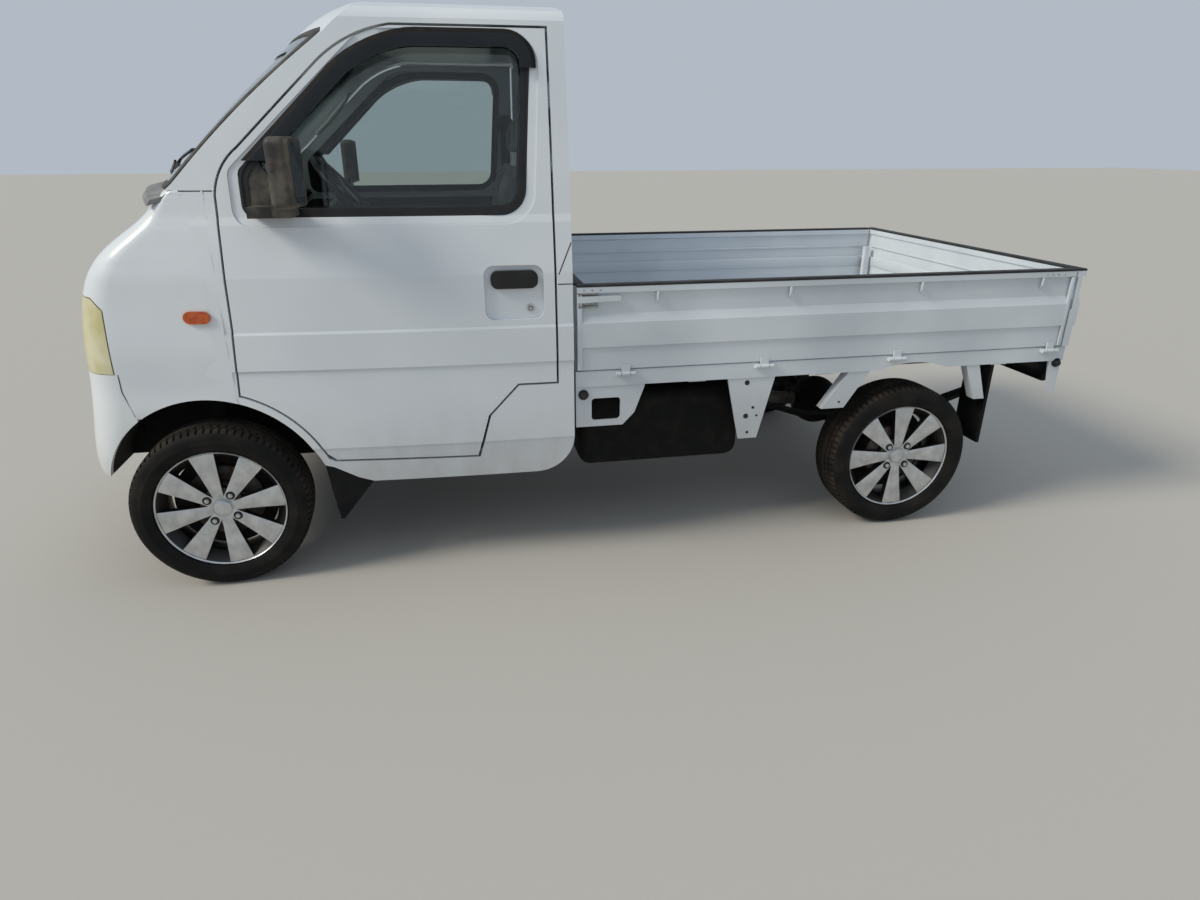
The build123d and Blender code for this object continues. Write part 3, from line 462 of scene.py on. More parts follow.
# Rain visors: smoked acrylic mouldings, taped over the top of each door window. The
# taped rim is flat and greyed by the sun, and the rest bows out to a free lower edge.
VISOR = [(182, 0, 1130), (1020, 0, 1130), (1056, 0, 1645), (578, 0, 1645), (182, 0, 1270)]
VISOR_ROUND = [40, 80, 95, 140, 30]
VISOR_FRONT_Z, VISOR_REAR_Z, VISOR_REAR_X = 1301, 1545, 800
VISOR_BASE, VISOR_BANDS = 3, [(12, 6), (21, 6), (15, -3)]
smoke = surface("smoked_acrylic", "#1a1e24", 0.1, ("#14181d", "#22272d"), 200, Transmission_Weight=0.6,
                IOR=1.45)
greyed_rim = surface("greyed_acrylic_rim", "#1d1c1c", 0.8, ("#181818", "#262423"), 40,
                     Specular_IOR_Level=0.2)
for side, word in SIDES:
    shape = bmesh.new()
    inside = [round_face(shape, VISOR, VISOR_ROUND)]
    for number, (width, rise) in enumerate(VISOR_BANDS):
        made = bmesh.ops.inset_region(shape, faces=inside, thickness=width / 1000, depth=rise / 1000,
                                      use_boundary=True, use_even_offset=True)
        for f in made["faces"]:
            f.material_index = 0 if number else 1
    bmesh.ops.delete(shape, geom=inside, context="FACES")
    for vert in shape.verts:
        lay_on_side([vert], side, VISOR_BASE + abs(vert.co.y) * 1000)
    for level in (VISOR_FRONT_Z, VISOR_REAR_Z):
        bmesh.ops.bisect_plane(shape, geom=shape.verts[:] + shape.edges[:] + shape.faces[:], dist=1e-5,
                               plane_co=spot(0, 0, level), plane_no=Vector((0, 0, -1)),
                               clear_outer=level == VISOR_FRONT_Z)
    low = [f for f in shape.faces if f.calc_center_median().x > spot(VISOR_REAR_X, 0, 0).x
           and f.calc_center_median().z < VISOR_REAR_Z / 1000]
    bmesh.ops.delete(shape, geom=low, context="FACES")
    thicken(shape, shape.faces[:], (0, -side * 3, 0))
    add_piece("rain_visor_" + word, shape, [smoke, greyed_rim], "door_" + word)

# Door mirrors: a deep case of weathered black plastic on a ball foot, with the glass at
# its rear face. The sun has greyed the case, most of all on its upper edges.
weathered = surface("weathered_black_plastic", "#2b2a29", 0.62, ("#272726", "#575248"), 55,
                    spread=(0.42, 0.62, 6.0), grit=(1.2, 0.25))
dress(["mirror_left", "mirror_right"], weathered)
silvered, tree, shader, place = new_finish("silvered_glass", "#c9ced2", 0.03, Metallic=1.0)
haze(tree, shader, place, 20.0, 6.0, 0.02, 0.18, 0.4)
MIRROR_X, MIRROR_Y, MIRROR_Z = 384, 793.8, 1272
MIRROR_TURN_DEG, MIRROR_ROUND = 7, 12
slide = math.tan(math.radians(MIRROR_TURN_DEG))
for side, word in SIDES:
    for name, half_wide, half_high, first, deep, finish, slot_name in (
            ("mirror_glass_", 46, 77, 0, 1.5, silvered, "glass"),
            ("mirror_rim_", 54, 85, -8, 11, weathered, "black_plastic")):
        shape = bmesh.new()
        corners = [(MIRROR_X + first - slide * a * half_wide, side * (MIRROR_Y + a * half_wide),
                    MIRROR_Z + b * half_high) for a, b in ((-1, -1), (1, -1), (1, 1), (-1, 1))]
        face = round_face(shape, corners, [MIRROR_ROUND] * 4, 5)
        if name == "mirror_rim_":
            cut_middle(shape, face, 9)
        thicken(shape, shape.faces[:], (deep, 0, 0))
        add_piece(name + word, shape, [finish], "door_" + word)

# Door pulls and locks: a black handle moulded in plastic, hinged in the pressed pocket,
# and a plated lock cylinder below its rear end.
gloss_black = surface("moulded_black_plastic", "#0c0d10", 0.25, ("#090a0c", "#15161a"), 40,
                      grit=(1.0, 0.05))
dress(["door_handle_left", "door_handle_right"], gloss_black)
plated = surface("plated_steel", "#c3c6c8", 0.35, ("#b2b5b8", "#d0d3d5"), 8, Metallic=0.8)
LOCK_X, LOCK_Z, POCKET_DEEP = 1004, 874, 717
for side, word in SIDES:
    shape = bmesh.new()
    for start, end, radius, sides, radius_end, slot in ((-2, 6, 13, 32, 12, 0), (5, 7.5, 7, 24, 7, 1),
                                                        (7, 8, 5, 24, 5, 0)):
        bar(shape, (LOCK_X, side * (POCKET_DEEP + start), LOCK_Z),
            (LOCK_X, side * (POCKET_DEEP + end), LOCK_Z), radius, sides, radius_end, slot)
    add_piece("door_lock_" + word, shape, [plated, gloss_black], "door_" + word)

# Lamps: the headlamp's moulded lens has yellowed, the fender marker is a ribbed orange
# moulding, and the tail lamp is one red lens with amber and clear parts.
RIB_MM = 9
head_lens, tree, shader, place = new_finish("yellowed_polycarbonate", "#d9d3a6", 0.22,
                                            Transmission_Weight=0.12, Coat_Weight=0.5)
mottle(tree, shader, place, "#cfc893", "#e3dfbe", 90)
ridges(tree, shader, place, "Y", 1000 / RIB_MM / 20, 1.5, 0.5)
dress(["headlamps"], head_lens)
orange_lens = surface("orange_acrylic", "#c4500f", 0.2, ("#b5450c", "#d4621c"), 12,
                      Transmission_Weight=0.15, Coat_Weight=0.5)
dress(["side_markers"], orange_lens)
red_lens = surface("red_acrylic", "#8c1512", 0.2, ("#7a100e", "#9e1c17"), 15, Transmission_Weight=0.1,
                   Coat_Weight=0.5)
LAMP_LOW, LAMP_HIGH = 522, 606
LAMP_WIDE, LAMP_BACK, LENS_BACK = 262, 42, 19


def cross_plate(shape, x, y0, y1, z0, z1, deep, ease_mm, slot=0, segments=2):
    """An upright plate across the truck, which reaches rearward by a depth."""
    plate(shape, [(x, y0, z0), (x, y1, z0), (x, y1, z1), (x, y0, z1)], (deep, 0, 0), ease_mm, slot, segments)


lamp_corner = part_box("tail_lamps")[1]
lamp_rear_x = (lamp_corner.x - front_axle_x) * 1000
lamp_out = lamp_corner.y * 1000
shape = bmesh.new()
for side in (LEFT, RIGHT):
    cross_plate(shape, lamp_rear_x - LAMP_BACK, side * (lamp_out - LAMP_WIDE), side * lamp_out,
                LAMP_LOW, LAMP_HIGH, 24, 6, 3)
    for first, last, slot in ((4, 62, 2), (63, 128, 1), (129, 258, 0)):
        cross_plate(shape, lamp_rear_x - LENS_BACK, side * (lamp_out - last), side * (lamp_out - first),
                    LAMP_LOW + 5, LAMP_HIGH - 5, 18, 5, slot, 3)
clear_lens = surface("clear_acrylic", "#c9cccb", 0.15, ("#bcc0bf", "#d3d6d5"), 12, Transmission_Weight=0.2,
                     Coat_Weight=0.5)
tail_piece = add_piece("tail_lamp_units", shape, [red_lens, orange_lens, clear_lens, gloss_black], "root")
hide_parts("tail_lamps")

# Wheels: cast aluminium, turned bright on the faces of the eight spokes and the lip, and
# painted black between them. Each is held by four nuts round a plain centre cap, with a
# low tyre of black rubber whose shoulders are cut into blocks.
SPOKES, LUGS, LUG_CIRCLE = 8, 4, 51
SPOKE = [(24, -56, 15), (60, -57, 18.5), (120, -60, 27), (189, -65, 38), (189, -65, -38), (120, -60, -27),
         (60, -57, -18.5), (24, -56, -15)]
FRONT_SPIN_DEG = 9.5
TREAD_STEPS, DUST_RADIUS = 225, 256.5
TYRE_HALF = [(186, 57), (192, 60), (196.5, 61.5), (197.5, 66), (201, 73), (204, 74.3), (213, 79.4),
             (222, 81.2), (224, 82.2), (228, 82.2), (230, 81.4), (241, 80.6), (251, 77.5), (258.5, 72),
             (263.5, 65.5), (266.2, 58), (267.2, 48), (260.5, 46.5), (260.5, 40.5), (267.6, 39),
             (268, 22), (261, 20.5), (261, 14.5), (268, 13)]
TYRE_BORE = [(184.8, -46), (246, -66), (256, -44), (256, 44), (246, 66), (184.8, 46)]
BARREL = [(193, -67), (194.5, -69), (196, -67), (194.5, -64), (184, -58), (172, -34), (172, 12), (183, 55),
          (184, 60), (194.5, 64), (194.5, 69), (189, 69), (176, 58), (163, 12), (163, -30), (186, -61),
          (190, -66)]
HUB = [(0, -52), (62, -52), (67, -48), (68, -26), (0, -26)]
CAP = [(0, -64.5), (14, -64.2), (22, -63), (26, -61.5), (26.6, -63.4), (28, -63.4), (29, -61),
       (29, -50), (0, -50)]
FRONT_DISC = [(0, -26), (72, -26), (74, -22), (74, 8), (118, 10), (118, 24), (0, 24)]
REAR_DRUM = [(0, -26), (98, -26), (107, -20), (108, -14), (108, 40), (98, 40), (98, -14), (0, -14)]

bright_alloy, tree, shader, place = new_finish("turned_aluminium", "#c3c6c8", 0.3, Metallic=0.85)
mottle(tree, shader, place, "#bdc0c3", "#d6d8da", 35)
haze(tree, shader, place, 400.0, 3.0, 0.24, 0.42)
black_alloy = surface("black_lacquer_on_aluminium", "#101113", 0.42, ("#0d0e10", "#201e1a"), 60)
tyre_rubber = surface("tyre_rubber", "#121213", 0.7, ("#0f0f10", "#26231f"), 70, spread=(0.4, 0.75, 6.0),
                      grit=(2.0, 0.25), Specular_IOR_Level=0.2)
dusty_tread = surface("dusty_tread_rubber", "#242220", 0.85, ("#191817", "#363029"), 90,
                      spread=(0.35, 0.7, 6.0), grit=(1.5, 0.3), Specular_IOR_Level=0.2)
brake_iron = surface("cast_iron", "#5a544e", 0.55, ("#6b6a68", "#5b3d29"), 25, spread=(0.45, 0.7, 6.0),
                     Metallic=0.7)


def turned(shape, rows, steps, slot=0):
    """A ring turned about the axle from its section: radius and place along the axle."""
    verts = [shape.verts.new((radius / 1000, y / 1000, 0)) for radius, y in rows]
    edges = [shape.edges.new((a, b)) for a, b in zip(verts, verts[1:])]
    if rows[0][0] or rows[-1][0]:
        edges.append(shape.edges.new((verts[-1], verts[0])))
    before = set(shape.faces)
    bmesh.ops.spin(shape, geom=verts + edges, cent=(0, 0, 0), axis=(0, 1, 0), angle=2 * math.pi, steps=steps,
                   use_merge=True)
    bmesh.ops.remove_doubles(shape, verts=shape.verts, dist=1e-6)
    finish_new(shape, before, slot)


def make_tyre():
    """The tyre with its grooves, and cuts across the shoulder blocks."""
    shape = bmesh.new()
    rows = [(radius, -y) for radius, y in TYRE_HALF] + [(radius, y) for radius, y in reversed(TYRE_HALF)]
    turned(shape, rows + [(r, -y) for r, y in TYRE_BORE], TREAD_STEPS)
    bmesh.ops.recalc_face_normals(shape, faces=shape.faces)
    cuts = []
    for f in shape.faces:
        middle = f.calc_center_median()
        radius = math.hypot(middle.x, middle.z) * 1000
        if radius > DUST_RADIUS:
            f.material_index = 1
        step = math.floor(math.degrees(math.atan2(middle.z, middle.x)) / (360 / TREAD_STEPS))
        across = abs(middle.y) * 1000
        if 259 < radius and 49 < across < 72 and step % 3 == 0:
            cuts.append(f)
        if 266 < radius and 22 < across < 39 and step % 3 == 1:
            cuts.append(f)
    bmesh.ops.inset_individual(shape, faces=cuts, thickness=0.001, depth=-0.004)
    return shape


def make_wheel(back):
    """Rim, spokes, hub, cap, nuts and the brake part that turns with the wheel."""
    shape = bmesh.new()
    turned(shape, BARREL, 96, 1)
    for f in shape.faces:
        middle = f.calc_center_median()
        if middle.y * 1000 < -62.5 and math.hypot(middle.x, middle.z) * 1000 > 188:
            f.material_index = 0
    turned(shape, HUB, 48, 1)
    turned(shape, back, 64, 2)
    turned(shape, CAP, 48, 0)
    for number in range(SPOKES):
        before = set(shape.verts)
        old_faces = set(shape.faces)
        face = shape.faces.new([shape.verts.new(Vector(corner) / 1000) for corner in SPOKE])
        thicken(shape, [face], (0, 24, 0))
        fresh = [f for f in shape.faces if f not in old_faces]
        ease(shape, {edge for f in fresh for edge in f.edges}, 1.4)
        fresh = [f for f in shape.faces if f not in old_faces]
        for f in fresh:
            f.normal_update()
            f.material_index = 0 if f.calc_center_median().y < -0.0535 and abs(f.normal.y) > 0.9 else 1
        spun = [vert for vert in shape.verts if vert not in before]
        turn = Matrix.Rotation(math.radians(number * 360 / SPOKES), 3, "Y")
        bmesh.ops.rotate(shape, verts=spun, cent=(0, 0, 0), matrix=turn)
    for number in range(LUGS):
        angle = math.radians(45 + number * 360 / LUGS)
        way = Vector((math.cos(angle), 0, -math.sin(angle))) * LUG_CIRCLE / 1000
        for radius, sides, front, depth, slot in ((0.0145, 28, -0.0595, 0.004, 1),
                                                  (0.0085, 6, -0.0625, 0.008, 3)):
            middle = way + Vector((0, front + depth / 2, 0))
            old = set(shape.faces)
            turn = Matrix.Translation(middle) @ Matrix.Rotation(math.radians(90), 4, "X")
            bmesh.ops.create_cone(shape, cap_ends=True, segments=sides, radius1=radius, radius2=radius * 0.9,
                                  depth=depth, matrix=turn)
            finish_new(shape, old, slot)
    return shape


def place_on_axle(shape, joint, spin_deg):
    """Move a wheel's parts from the origin to its joint, outer face outward."""
    centre, axis = Vector(joint["pos_m"]), Vector(joint["axis"])
    side = LEFT if centre.y < 0 else RIGHT
    outward = axis if axis.y * side > 0 else -axis
    steer = math.atan2(-outward.x * side, outward.y * side)
    turn = Matrix.Rotation(steer, 4, "Z") @ Matrix.Rotation(math.radians(-spin_deg), 4, "Y")
    if side == RIGHT:
        turn = turn @ Matrix.Rotation(math.pi, 4, "Z")
    bmesh.ops.transform(shape, verts=shape.verts, matrix=Matrix.Translation(centre) @ turn)


for name, joint in wheel_joints.items():
    place_word = name.removeprefix("wheel_")
    front = place_word.startswith("front")
    spin = FRONT_SPIN_DEG if front else 0
    shape = make_tyre()
    place_on_axle(shape, joint, spin)
    tyre = add_piece("tyre_with_tread_" + place_word, shape, [tyre_rubber, dusty_tread], name)
    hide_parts("tyre_" + place_word)
    shape = make_wheel(FRONT_DISC if front else REAR_DRUM)
    place_on_axle(shape, joint, spin)
    rim = add_piece("alloy_wheel_" + place_word, shape, [bright_alloy, black_alloy, brake_iron, plated],
                    name)
    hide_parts("rim_" + place_word)

# Brake backing plates: pressed steel dust shields behind each disc or drum, which close
# the back of the wheel off from the road.
SHIELD = [(52, 30), (122, 30), (142, 26), (156, 17), (158, 19), (144, 29), (123, 33), (52, 33)]
SHIELD_IN = 14
shield_steel = surface("rusted_pressed_steel", "#1d1b19", 0.8, ("#171615", "#37291f"), 30,
                       spread=(0.45, 0.7, 6.0))
for name, joint in wheel_joints.items():
    word = name.removeprefix("wheel_")
    shape = bmesh.new()
    front = word.startswith("front")
    turned(shape, [(radius, y + (0 if front else SHIELD_IN)) for radius, y in SHIELD], 64)
    place_on_axle(shape, joint, 0)
    carrier = "knuckle_" + word.removeprefix("front_") if front else "root"
    add_piece("brake_shield_" + word, shape, [shield_steel], carrier)

# Running gear: pressed and welded steel, sprayed with black underseal. Road dirt and
# some rust have settled on it. The frame rails were painted white and have gone grey.
RUST_MM = 45
underseal = surface("black_underseal", "#0f1011", 0.75, ("#0c0d0e", "#1e1a16"), RUST_MM,
                    spread=(0.45, 0.75, 6.0), grit=(3.0, 0.4), Specular_IOR_Level=0.2)
dress(["front_suspension", "rear_axle", "leaf_springs", "knuckle_left", "knuckle_right", "fuel_tank",
       "cab_floor", "wheel_housings"], underseal)
rail_paint = surface("dirty_white_chassis_paint", "#8e8c88", 0.6, ("#a3a29e", "#5c5348"), 120,
                     spread=(0.4, 0.7, 6.0), grit=(3.0, 0.3))
dress(["chassis_frame", "cross_members"], rail_paint)
cast_alloy = surface("sand_cast_aluminium", "#7c7a76", 0.55, ("#86857f", "#57504a"), 80,
                     spread=(0.4, 0.7, 6.0), grit=(2.0, 0.3), Metallic=0.6)
dress(["engine_block", "gearbox_shaft"], cast_alloy)
exhaust_steel = surface("rusted_exhaust_steel", "#6c5a4b", 0.7, ("#77706a", "#6b3f24"), 35,
                        spread=(0.4, 0.65, 6.0), grit=(2.0, 0.3), Metallic=0.4)
dress(["exhaust"], exhaust_steel)
flap_rubber = surface("mudflap_rubber", "#0d0f12", 0.7, ("#0b0d10", "#1e1d1b"), 80,
                      spread=(0.4, 0.75, 6.0), grit=(2.0, 0.2), Specular_IOR_Level=0.2)
dress(["mudflaps"], flap_rubber)

# Bed gates: folded sheet with a wide rolled top rail, on which a black rubber strip is
# riveted. Rope hooks are welded under the rail, and a cast latch at the front end of
# each side gate holds it to the corner post.
GATE_FACE, GATE_FRONT, GATE_REAR, TAIL_FACE = 729, 1148, 2916, 2956
RAIL_TOP = 932
HOOKS = [1408, 1856, 2328, 2790]
strip_rubber = surface("black_rubber_strip", "#17181a", 0.6, ("#141517", "#2a2a2b"), 60, grit=(2.0, 0.15))
latch_steel = surface("zinc_plated_steel", "#9b9d9e", 0.4, ("#a6a8a9", "#6f675d"), 20,
                      spread=(0.45, 0.7, 5.0), Metallic=0.9)
INNER_RIBS = [(690, 700, 34, 4), (754, 800, 31, 7), (846, 856, 26, 4)]


def rail_strip(name, x0, x1, y0, y1, body):
    """A rubber strip lying on a top rail."""
    shape = bmesh.new()
    plate(shape, [(x0, y0, RAIL_TOP), (x1, y0, RAIL_TOP), (x1, y1, RAIL_TOP), (x0, y1, RAIL_TOP)], (0, 0, 8),
          2.5)
    add_piece(name, shape, [strip_rubber], body)


def side_plate(shape, x0, x1, z0, z1, y, deep, ease_mm):
    """An upright plate along the truck's side, drawn out by a depth."""
    plate(shape, [(x0, y, z0), (x1, y, z0), (x1, y, z1), (x0, y, z1)], (0, deep, 0), ease_mm)


for side, word in SIDES:
    body = "gate_" + word
    rail_strip("rail_strip_" + word, GATE_FRONT, GATE_REAR, side * (GATE_FACE + 1.5),
               side * (GATE_FACE - 30), body)
    shape = bmesh.new()
    for x in HOOKS:
        side_plate(shape, x - 4, x + 4, 884, 913, side * (GATE_FACE - 6), side * 8, 2)
        plate(shape, [(x - 4, side * (GATE_FACE + 1), 892), (x + 4, side * (GATE_FACE + 1), 892),
                      (x + 4, side * (GATE_FACE - 9), 878), (x - 4, side * (GATE_FACE - 9), 878)],
              (0, 0, -6), 1.5)
    add_piece("rope_hooks_" + word, shape, [bed_enamel], body)
    shape = bmesh.new()
    for x0, x1, z0, z1, deep in ((1152, 1216, 868, 874, 9), (1152, 1216, 908, 914, 9),
                                 (1152, 1158, 868, 914, 9), (1160, 1212, 876, 906, 5)):
        side_plate(shape, x0, x1, z0, z1, side * (GATE_FACE - 7), side * deep, 1.2)
    bar(shape, (1180, side * (GATE_FACE - 4), 891), (1180, side * (GATE_FACE + 1), 891), 9, 24)
    bar(shape, (1203, side * (GATE_FACE - 4), 891), (1203, side * (GATE_FACE + 1), 891), 5, 16)
    add_piece("latch_catch_" + word, shape, [latch_steel], body)
    shape = bmesh.new()
    for x0, x1 in ((GATE_FRONT, GATE_FRONT + 16), (GATE_REAR - 14, GATE_REAR)):
        side_plate(shape, x0, x1, 668, 912, side * (GATE_FACE - 6), side * 6.5, 2)
    add_piece("gate_end_caps_" + word, shape, [bed_enamel], body)
    shape = bmesh.new()
    for x in (2800, 2822, 2844, 2868, 1170, 1196, 1222):
        bar(shape, (x, side * (GATE_FACE - 1), 923), (x, side * (GATE_FACE + 1.4), 923), 3.2, 12, 2)
    add_piece("rail_rivets_" + word, shape, [latch_steel], body)
    shape = bmesh.new()
    for z0, z1, inward, deep in INNER_RIBS:
        side_plate(shape, GATE_FRONT + 30, GATE_REAR - 30, z0, z1, side * (GATE_FACE - inward), -side * deep,
                   2.5)
    add_piece("gate_inner_ribs_" + word, shape, [bed_enamel], body)

rail_strip("rail_strip_tail", TAIL_FACE - 30, TAIL_FACE + 1, -GATE_FACE, GATE_FACE, "tailgate")
shape = bmesh.new()
for z0, z1, inward, deep in INNER_RIBS:
    cross_plate(shape, TAIL_FACE - inward, -GATE_FACE + 60, GATE_FACE - 60, z0, z1, -deep, 2.5)
add_piece("tailgate_inner_ribs", shape, [bed_enamel], "tailgate")
rail_strip("rail_strip_front", 1143, 1175, -690, 690, "root")

# Bed underside trim: rubber stoppers on the bed's sides that the dropped gates rest on, and the brackets'
# punched holes, drawn as dark discs of painted shade that lie on the sheet, for the shade seen through the
# holes.
shape = bmesh.new()
for side in (LEFT, RIGHT):
    for x, z in ((1168, 581), (2925, 600)):
        bar(shape, (x, side * 713, z), (x, side * 718, z), 17, 24, 17)
        bar(shape, (x, side * 717, z), (x, side * 730, z), 13, 24, 9)
add_piece("gate_stoppers", shape, [strip_rubber], "root")
shape = bmesh.new()
for side in (LEFT, RIGHT):
    for x, z, radius in ((1733, 590, 9), (1736, 470, 9), (1775, 470, 4), (1745, 410, 5), (1760, 500, 5),
                         (2080, 500, 4)):
        bar(shape, (x, side * 714.2, z), (x, side * 714.6, z), radius, 20)
# The discs are painted shade, given the black rubber strips' finish.
add_piece("bracket_holes", shape, [strip_rubber], "root")

# Windscreen edge: the laminated glass is bonded on the outside of its opening. A band
# of black ceramic is fired on its edge, and a rubber moulding closes the joint.
SCREEN_AXIS = 1500
SCREEN_FOOT, SCREEN_HEAD, SCREEN_BOW = (-123, 1223), (305, 1633), 20
EDGE_LOW, EDGE_HIGH, EDGE_ROUND, EDGE_IN = 1232, 1640, 40, 14
EDGE_STEPS, EDGE_ACROSS = 28, 24


def screen_x(y, z, proud=0):
    """How far behind the front axle the windscreen's surface is, standing proud of it in millimetres."""
    share = (z - SCREEN_FOOT[1]) / (SCREEN_HEAD[1] - SCREEN_FOOT[1])
    straight = SCREEN_FOOT[0] + share * (SCREEN_HEAD[0] - SCREEN_FOOT[0])
    bow = 4 * share * (1 - share) * SCREEN_BOW
    return SCREEN_AXIS - math.sqrt((SCREEN_AXIS - straight + bow + proud) ** 2 - y * y)


def screen_edge(inset):
    """Places round the windscreen's edge, across and up, taken in by an inset."""
    low, high = EDGE_LOW + inset, EDGE_HIGH - inset
    rows = [low + (high - low) * number / EDGE_STEPS for number in range(EDGE_STEPS + 1)]
    right = []
    for z in rows:
        near = min(z - rows[0], rows[-1] - z)
        corner = EDGE_ROUND - math.sqrt(EDGE_ROUND**2 - max(EDGE_ROUND - near, 0) ** 2)
        right.append((half_width(screen_x(600, z), z) - EDGE_IN - inset - corner, z))
    wide, foot_wide = right[-1][0], right[0][0]
    top = [(wide - 2 * wide * number / EDGE_ACROSS, rows[-1]) for number in range(1, EDGE_ACROSS)]
    foot = [(2 * foot_wide * number / EDGE_ACROSS - foot_wide, rows[0]) for number in range(1, EDGE_ACROSS)]
    return right + top + [(-y, z) for y, z in reversed(right)] + foot


def skin(shape, rows, around):
    """Faces between rows of corners, closed round each row or left open at its ends."""
    for first, second in zip(rows, rows[1:]):
        for k in range(0 if around else 1, len(first)):
            shape.faces.new((first[k - 1], first[k], second[k], second[k - 1]))


ceramic = surface("black_ceramic_edge", "#0c0d0f", 0.12, ("#0b0c0e", "#15171a"), 60, Coat_Weight=0.6)
edge_rubber = surface("weathered_rubber_moulding", "#2c2a28", 0.6, ("#252423", "#47433e"), 35,
                      spread=(0.4, 0.65, 5.0), grit=(1.5, 0.15))
CERAMIC = [(8, 0.5), (8, 3), (40, 3), (52, 2.4), (52, -3)]
MOULDING = [(-7, -6), (-7, 4), (-4, 7), (2, 8.5), (9, 7), (12, 3), (12, -2)]
for name, section, finish, slot_name in (("screen_ceramic_edge", CERAMIC, ceramic, "glass"),
                                         ("screen_moulding", MOULDING, edge_rubber, "black_plastic")):
    shape = bmesh.new()
    rings = [[shape.verts.new(spot(screen_x(y, z, proud), y, z)) for y, z in screen_edge(inset)]
             for inset, proud in section]
    skin(shape, rings + rings[:1], True)
    add_piece(name, shape, [finish], "root")

# Cowl: a grained grey plastic cover between the bonnet's edge and the windscreen, with
# air slots. Two painted arms press the wiper blades' rubber on the glass.
COWL_SECTION = [(-58, -14), (-46, 2), (-12, 10), (18, 9), (34, 3), (34, -16)]
COWL_HALF, COWL_STEPS, COWL_DROOP = 628, 40, 26
BLADE_HALF, BLADE_FALL, BLADE_Z = 190, 32, 1296
cowl_plastic = surface("sun_greyed_plastic", "#77787a", 0.7, ("#6b6c6e", "#88898a"), 30, grit=(1.4, 0.3))
shape = bmesh.new()
rows = []
for number in range(COWL_STEPS + 1):
    y = COWL_HALF * (2 * number / COWL_STEPS - 1)
    droop = COWL_DROOP * (abs(y) / COWL_HALF) ** 4
    rows.append([shape.verts.new(spot(screen_x(y, 1226) + ahead - 6, y, 1222 + rise - droop * (ahead < 0)))
                 for ahead, rise in COWL_SECTION])
skin(shape, rows, False)
shape.faces.new(rows[0])
shape.faces.new(rows[-1])
bmesh.ops.holes_fill(shape, edges=[edge for edge in shape.edges if edge.is_boundary], sides=0)
add_piece("cowl_cover", shape, [cowl_plastic], "root")
for word, pivot_y, knee_y, middle_y in (("left", -90, -192.5, -390), ("right", 420, 320, 130)):
    shape = bmesh.new()
    heel = (screen_x(pivot_y, 1230, 16), pivot_y, 1236)
    knee = (screen_x(knee_y, 1262, 26), knee_y, 1262)
    middle = (screen_x(middle_y, BLADE_Z, 20), middle_y, BLADE_Z)
    bar(shape, (heel[0], heel[1], 1222), heel, 13, 20, 11)
    bar(shape, heel, knee, 9, 12, 6)
    bar(shape, knee, middle, 5, 10, 4)
    blade = []
    for step in range(-6, 7):
        y, z = middle_y + BLADE_HALF * step / 6, BLADE_Z - BLADE_FALL * step / 6
        blade.append([shape.verts.new(spot(screen_x(y, z + up, proud), y, z + up))
                      for up, proud in ((-4, 3.5), (-4, 14), (5, 14), (5, 3.5))])
    skin(shape, blade, True)
    shape.faces.new(blade[0])
    shape.faces.new(blade[-1])
    add_piece("wiper_" + word, shape, [gloss_black], "root")

# Rear window: fixed glass in a rubber channel that grips the panel's edge on both sides.
shape = bmesh.new()
for x, deep in ((1129, 9), (1097, 7)):
    before = set(shape.faces)
    corners = [(x, -496, 1179), (x, 496, 1179), (x, 496, 1571), (x, -496, 1571)]
    cut_middle(shape, round_face(shape, corners, [75] * 4), 26)
    thicken(shape, [f for f in shape.faces if f not in before], (deep, 0, 0))
add_piece("rear_window_seal", shape, [seal_rubber], "root")

# Cab inside: the dashboard is grained grey plastic with a hooded cluster, vents and a
# radio, and the steering wheel is foamed black plastic on a steel core.
dash_plastic = surface("grained_grey_plastic", "#3b3d40", 0.6, ("#37393c", "#45474a"), 80, grit=(1.6, 0.2))
dress(["dashboard"], dash_plastic)
wheel_foam = surface("foamed_black_plastic", "#1a1b1d", 0.5, ("#161719", "#26272a"), 40, grit=(1.0, 0.1))
dress(["steering_wheel", "steering_column"], wheel_foam)
dial_glass = surface("dark_dial_window", "#0d1012", 0.08, ("#0c0f11", "#191d20"), 25, Coat_Weight=0.8)
shape = bmesh.new()
plate(shape, [(60, 200, 1128), (60, 480, 1128), (100, 470, 1176), (100, 210, 1176)], (128, 0, -6), 14,
      segments=4)
plate(shape, [(228, 218, 1080), (228, 462, 1080), (222, 454, 1160), (222, 226, 1160)], (4, 0, 0), 3, 1)
for y in (-560, -110, 110, 575):
    cross_plate(shape, 214, y - 46, y + 46, 1030, 1080, 6, 3)
    for z in (1037, 1048, 1059, 1070):
        cross_plate(shape, 219, y - 40, y + 40, z, z + 3, 4, 0.6, 1)
cross_plate(shape, 214, -88, 88, 935, 985, 7, 2, 1)
cross_plate(shape, 214, -545, -200, 915, 1010, 5, 4)
for y in (-50, 0, 50):
    bar(shape, (214, y, 905), (236, y, 905), 13, 20, 11, 1)
add_piece("dashboard_fittings", shape, [dash_plastic, dial_glass], "root")
shape = bmesh.new()
plate(shape, [(352, -112, 1548), (352, 112, 1548), (358, 112, 1610), (358, -112, 1610)], (14, 0, 0), 6,
      segments=3)
plate(shape, [(367, -104, 1554), (367, 104, 1554), (372, 104, 1604), (372, -104, 1604)], (1.6, 0, 0), 0.6, 1)
bar(shape, (355, 0, 1600), (372, 0, 1668), 7, 14, 9)
add_piece("rear_view_mirror", shape, [wheel_foam, silvered], "root")
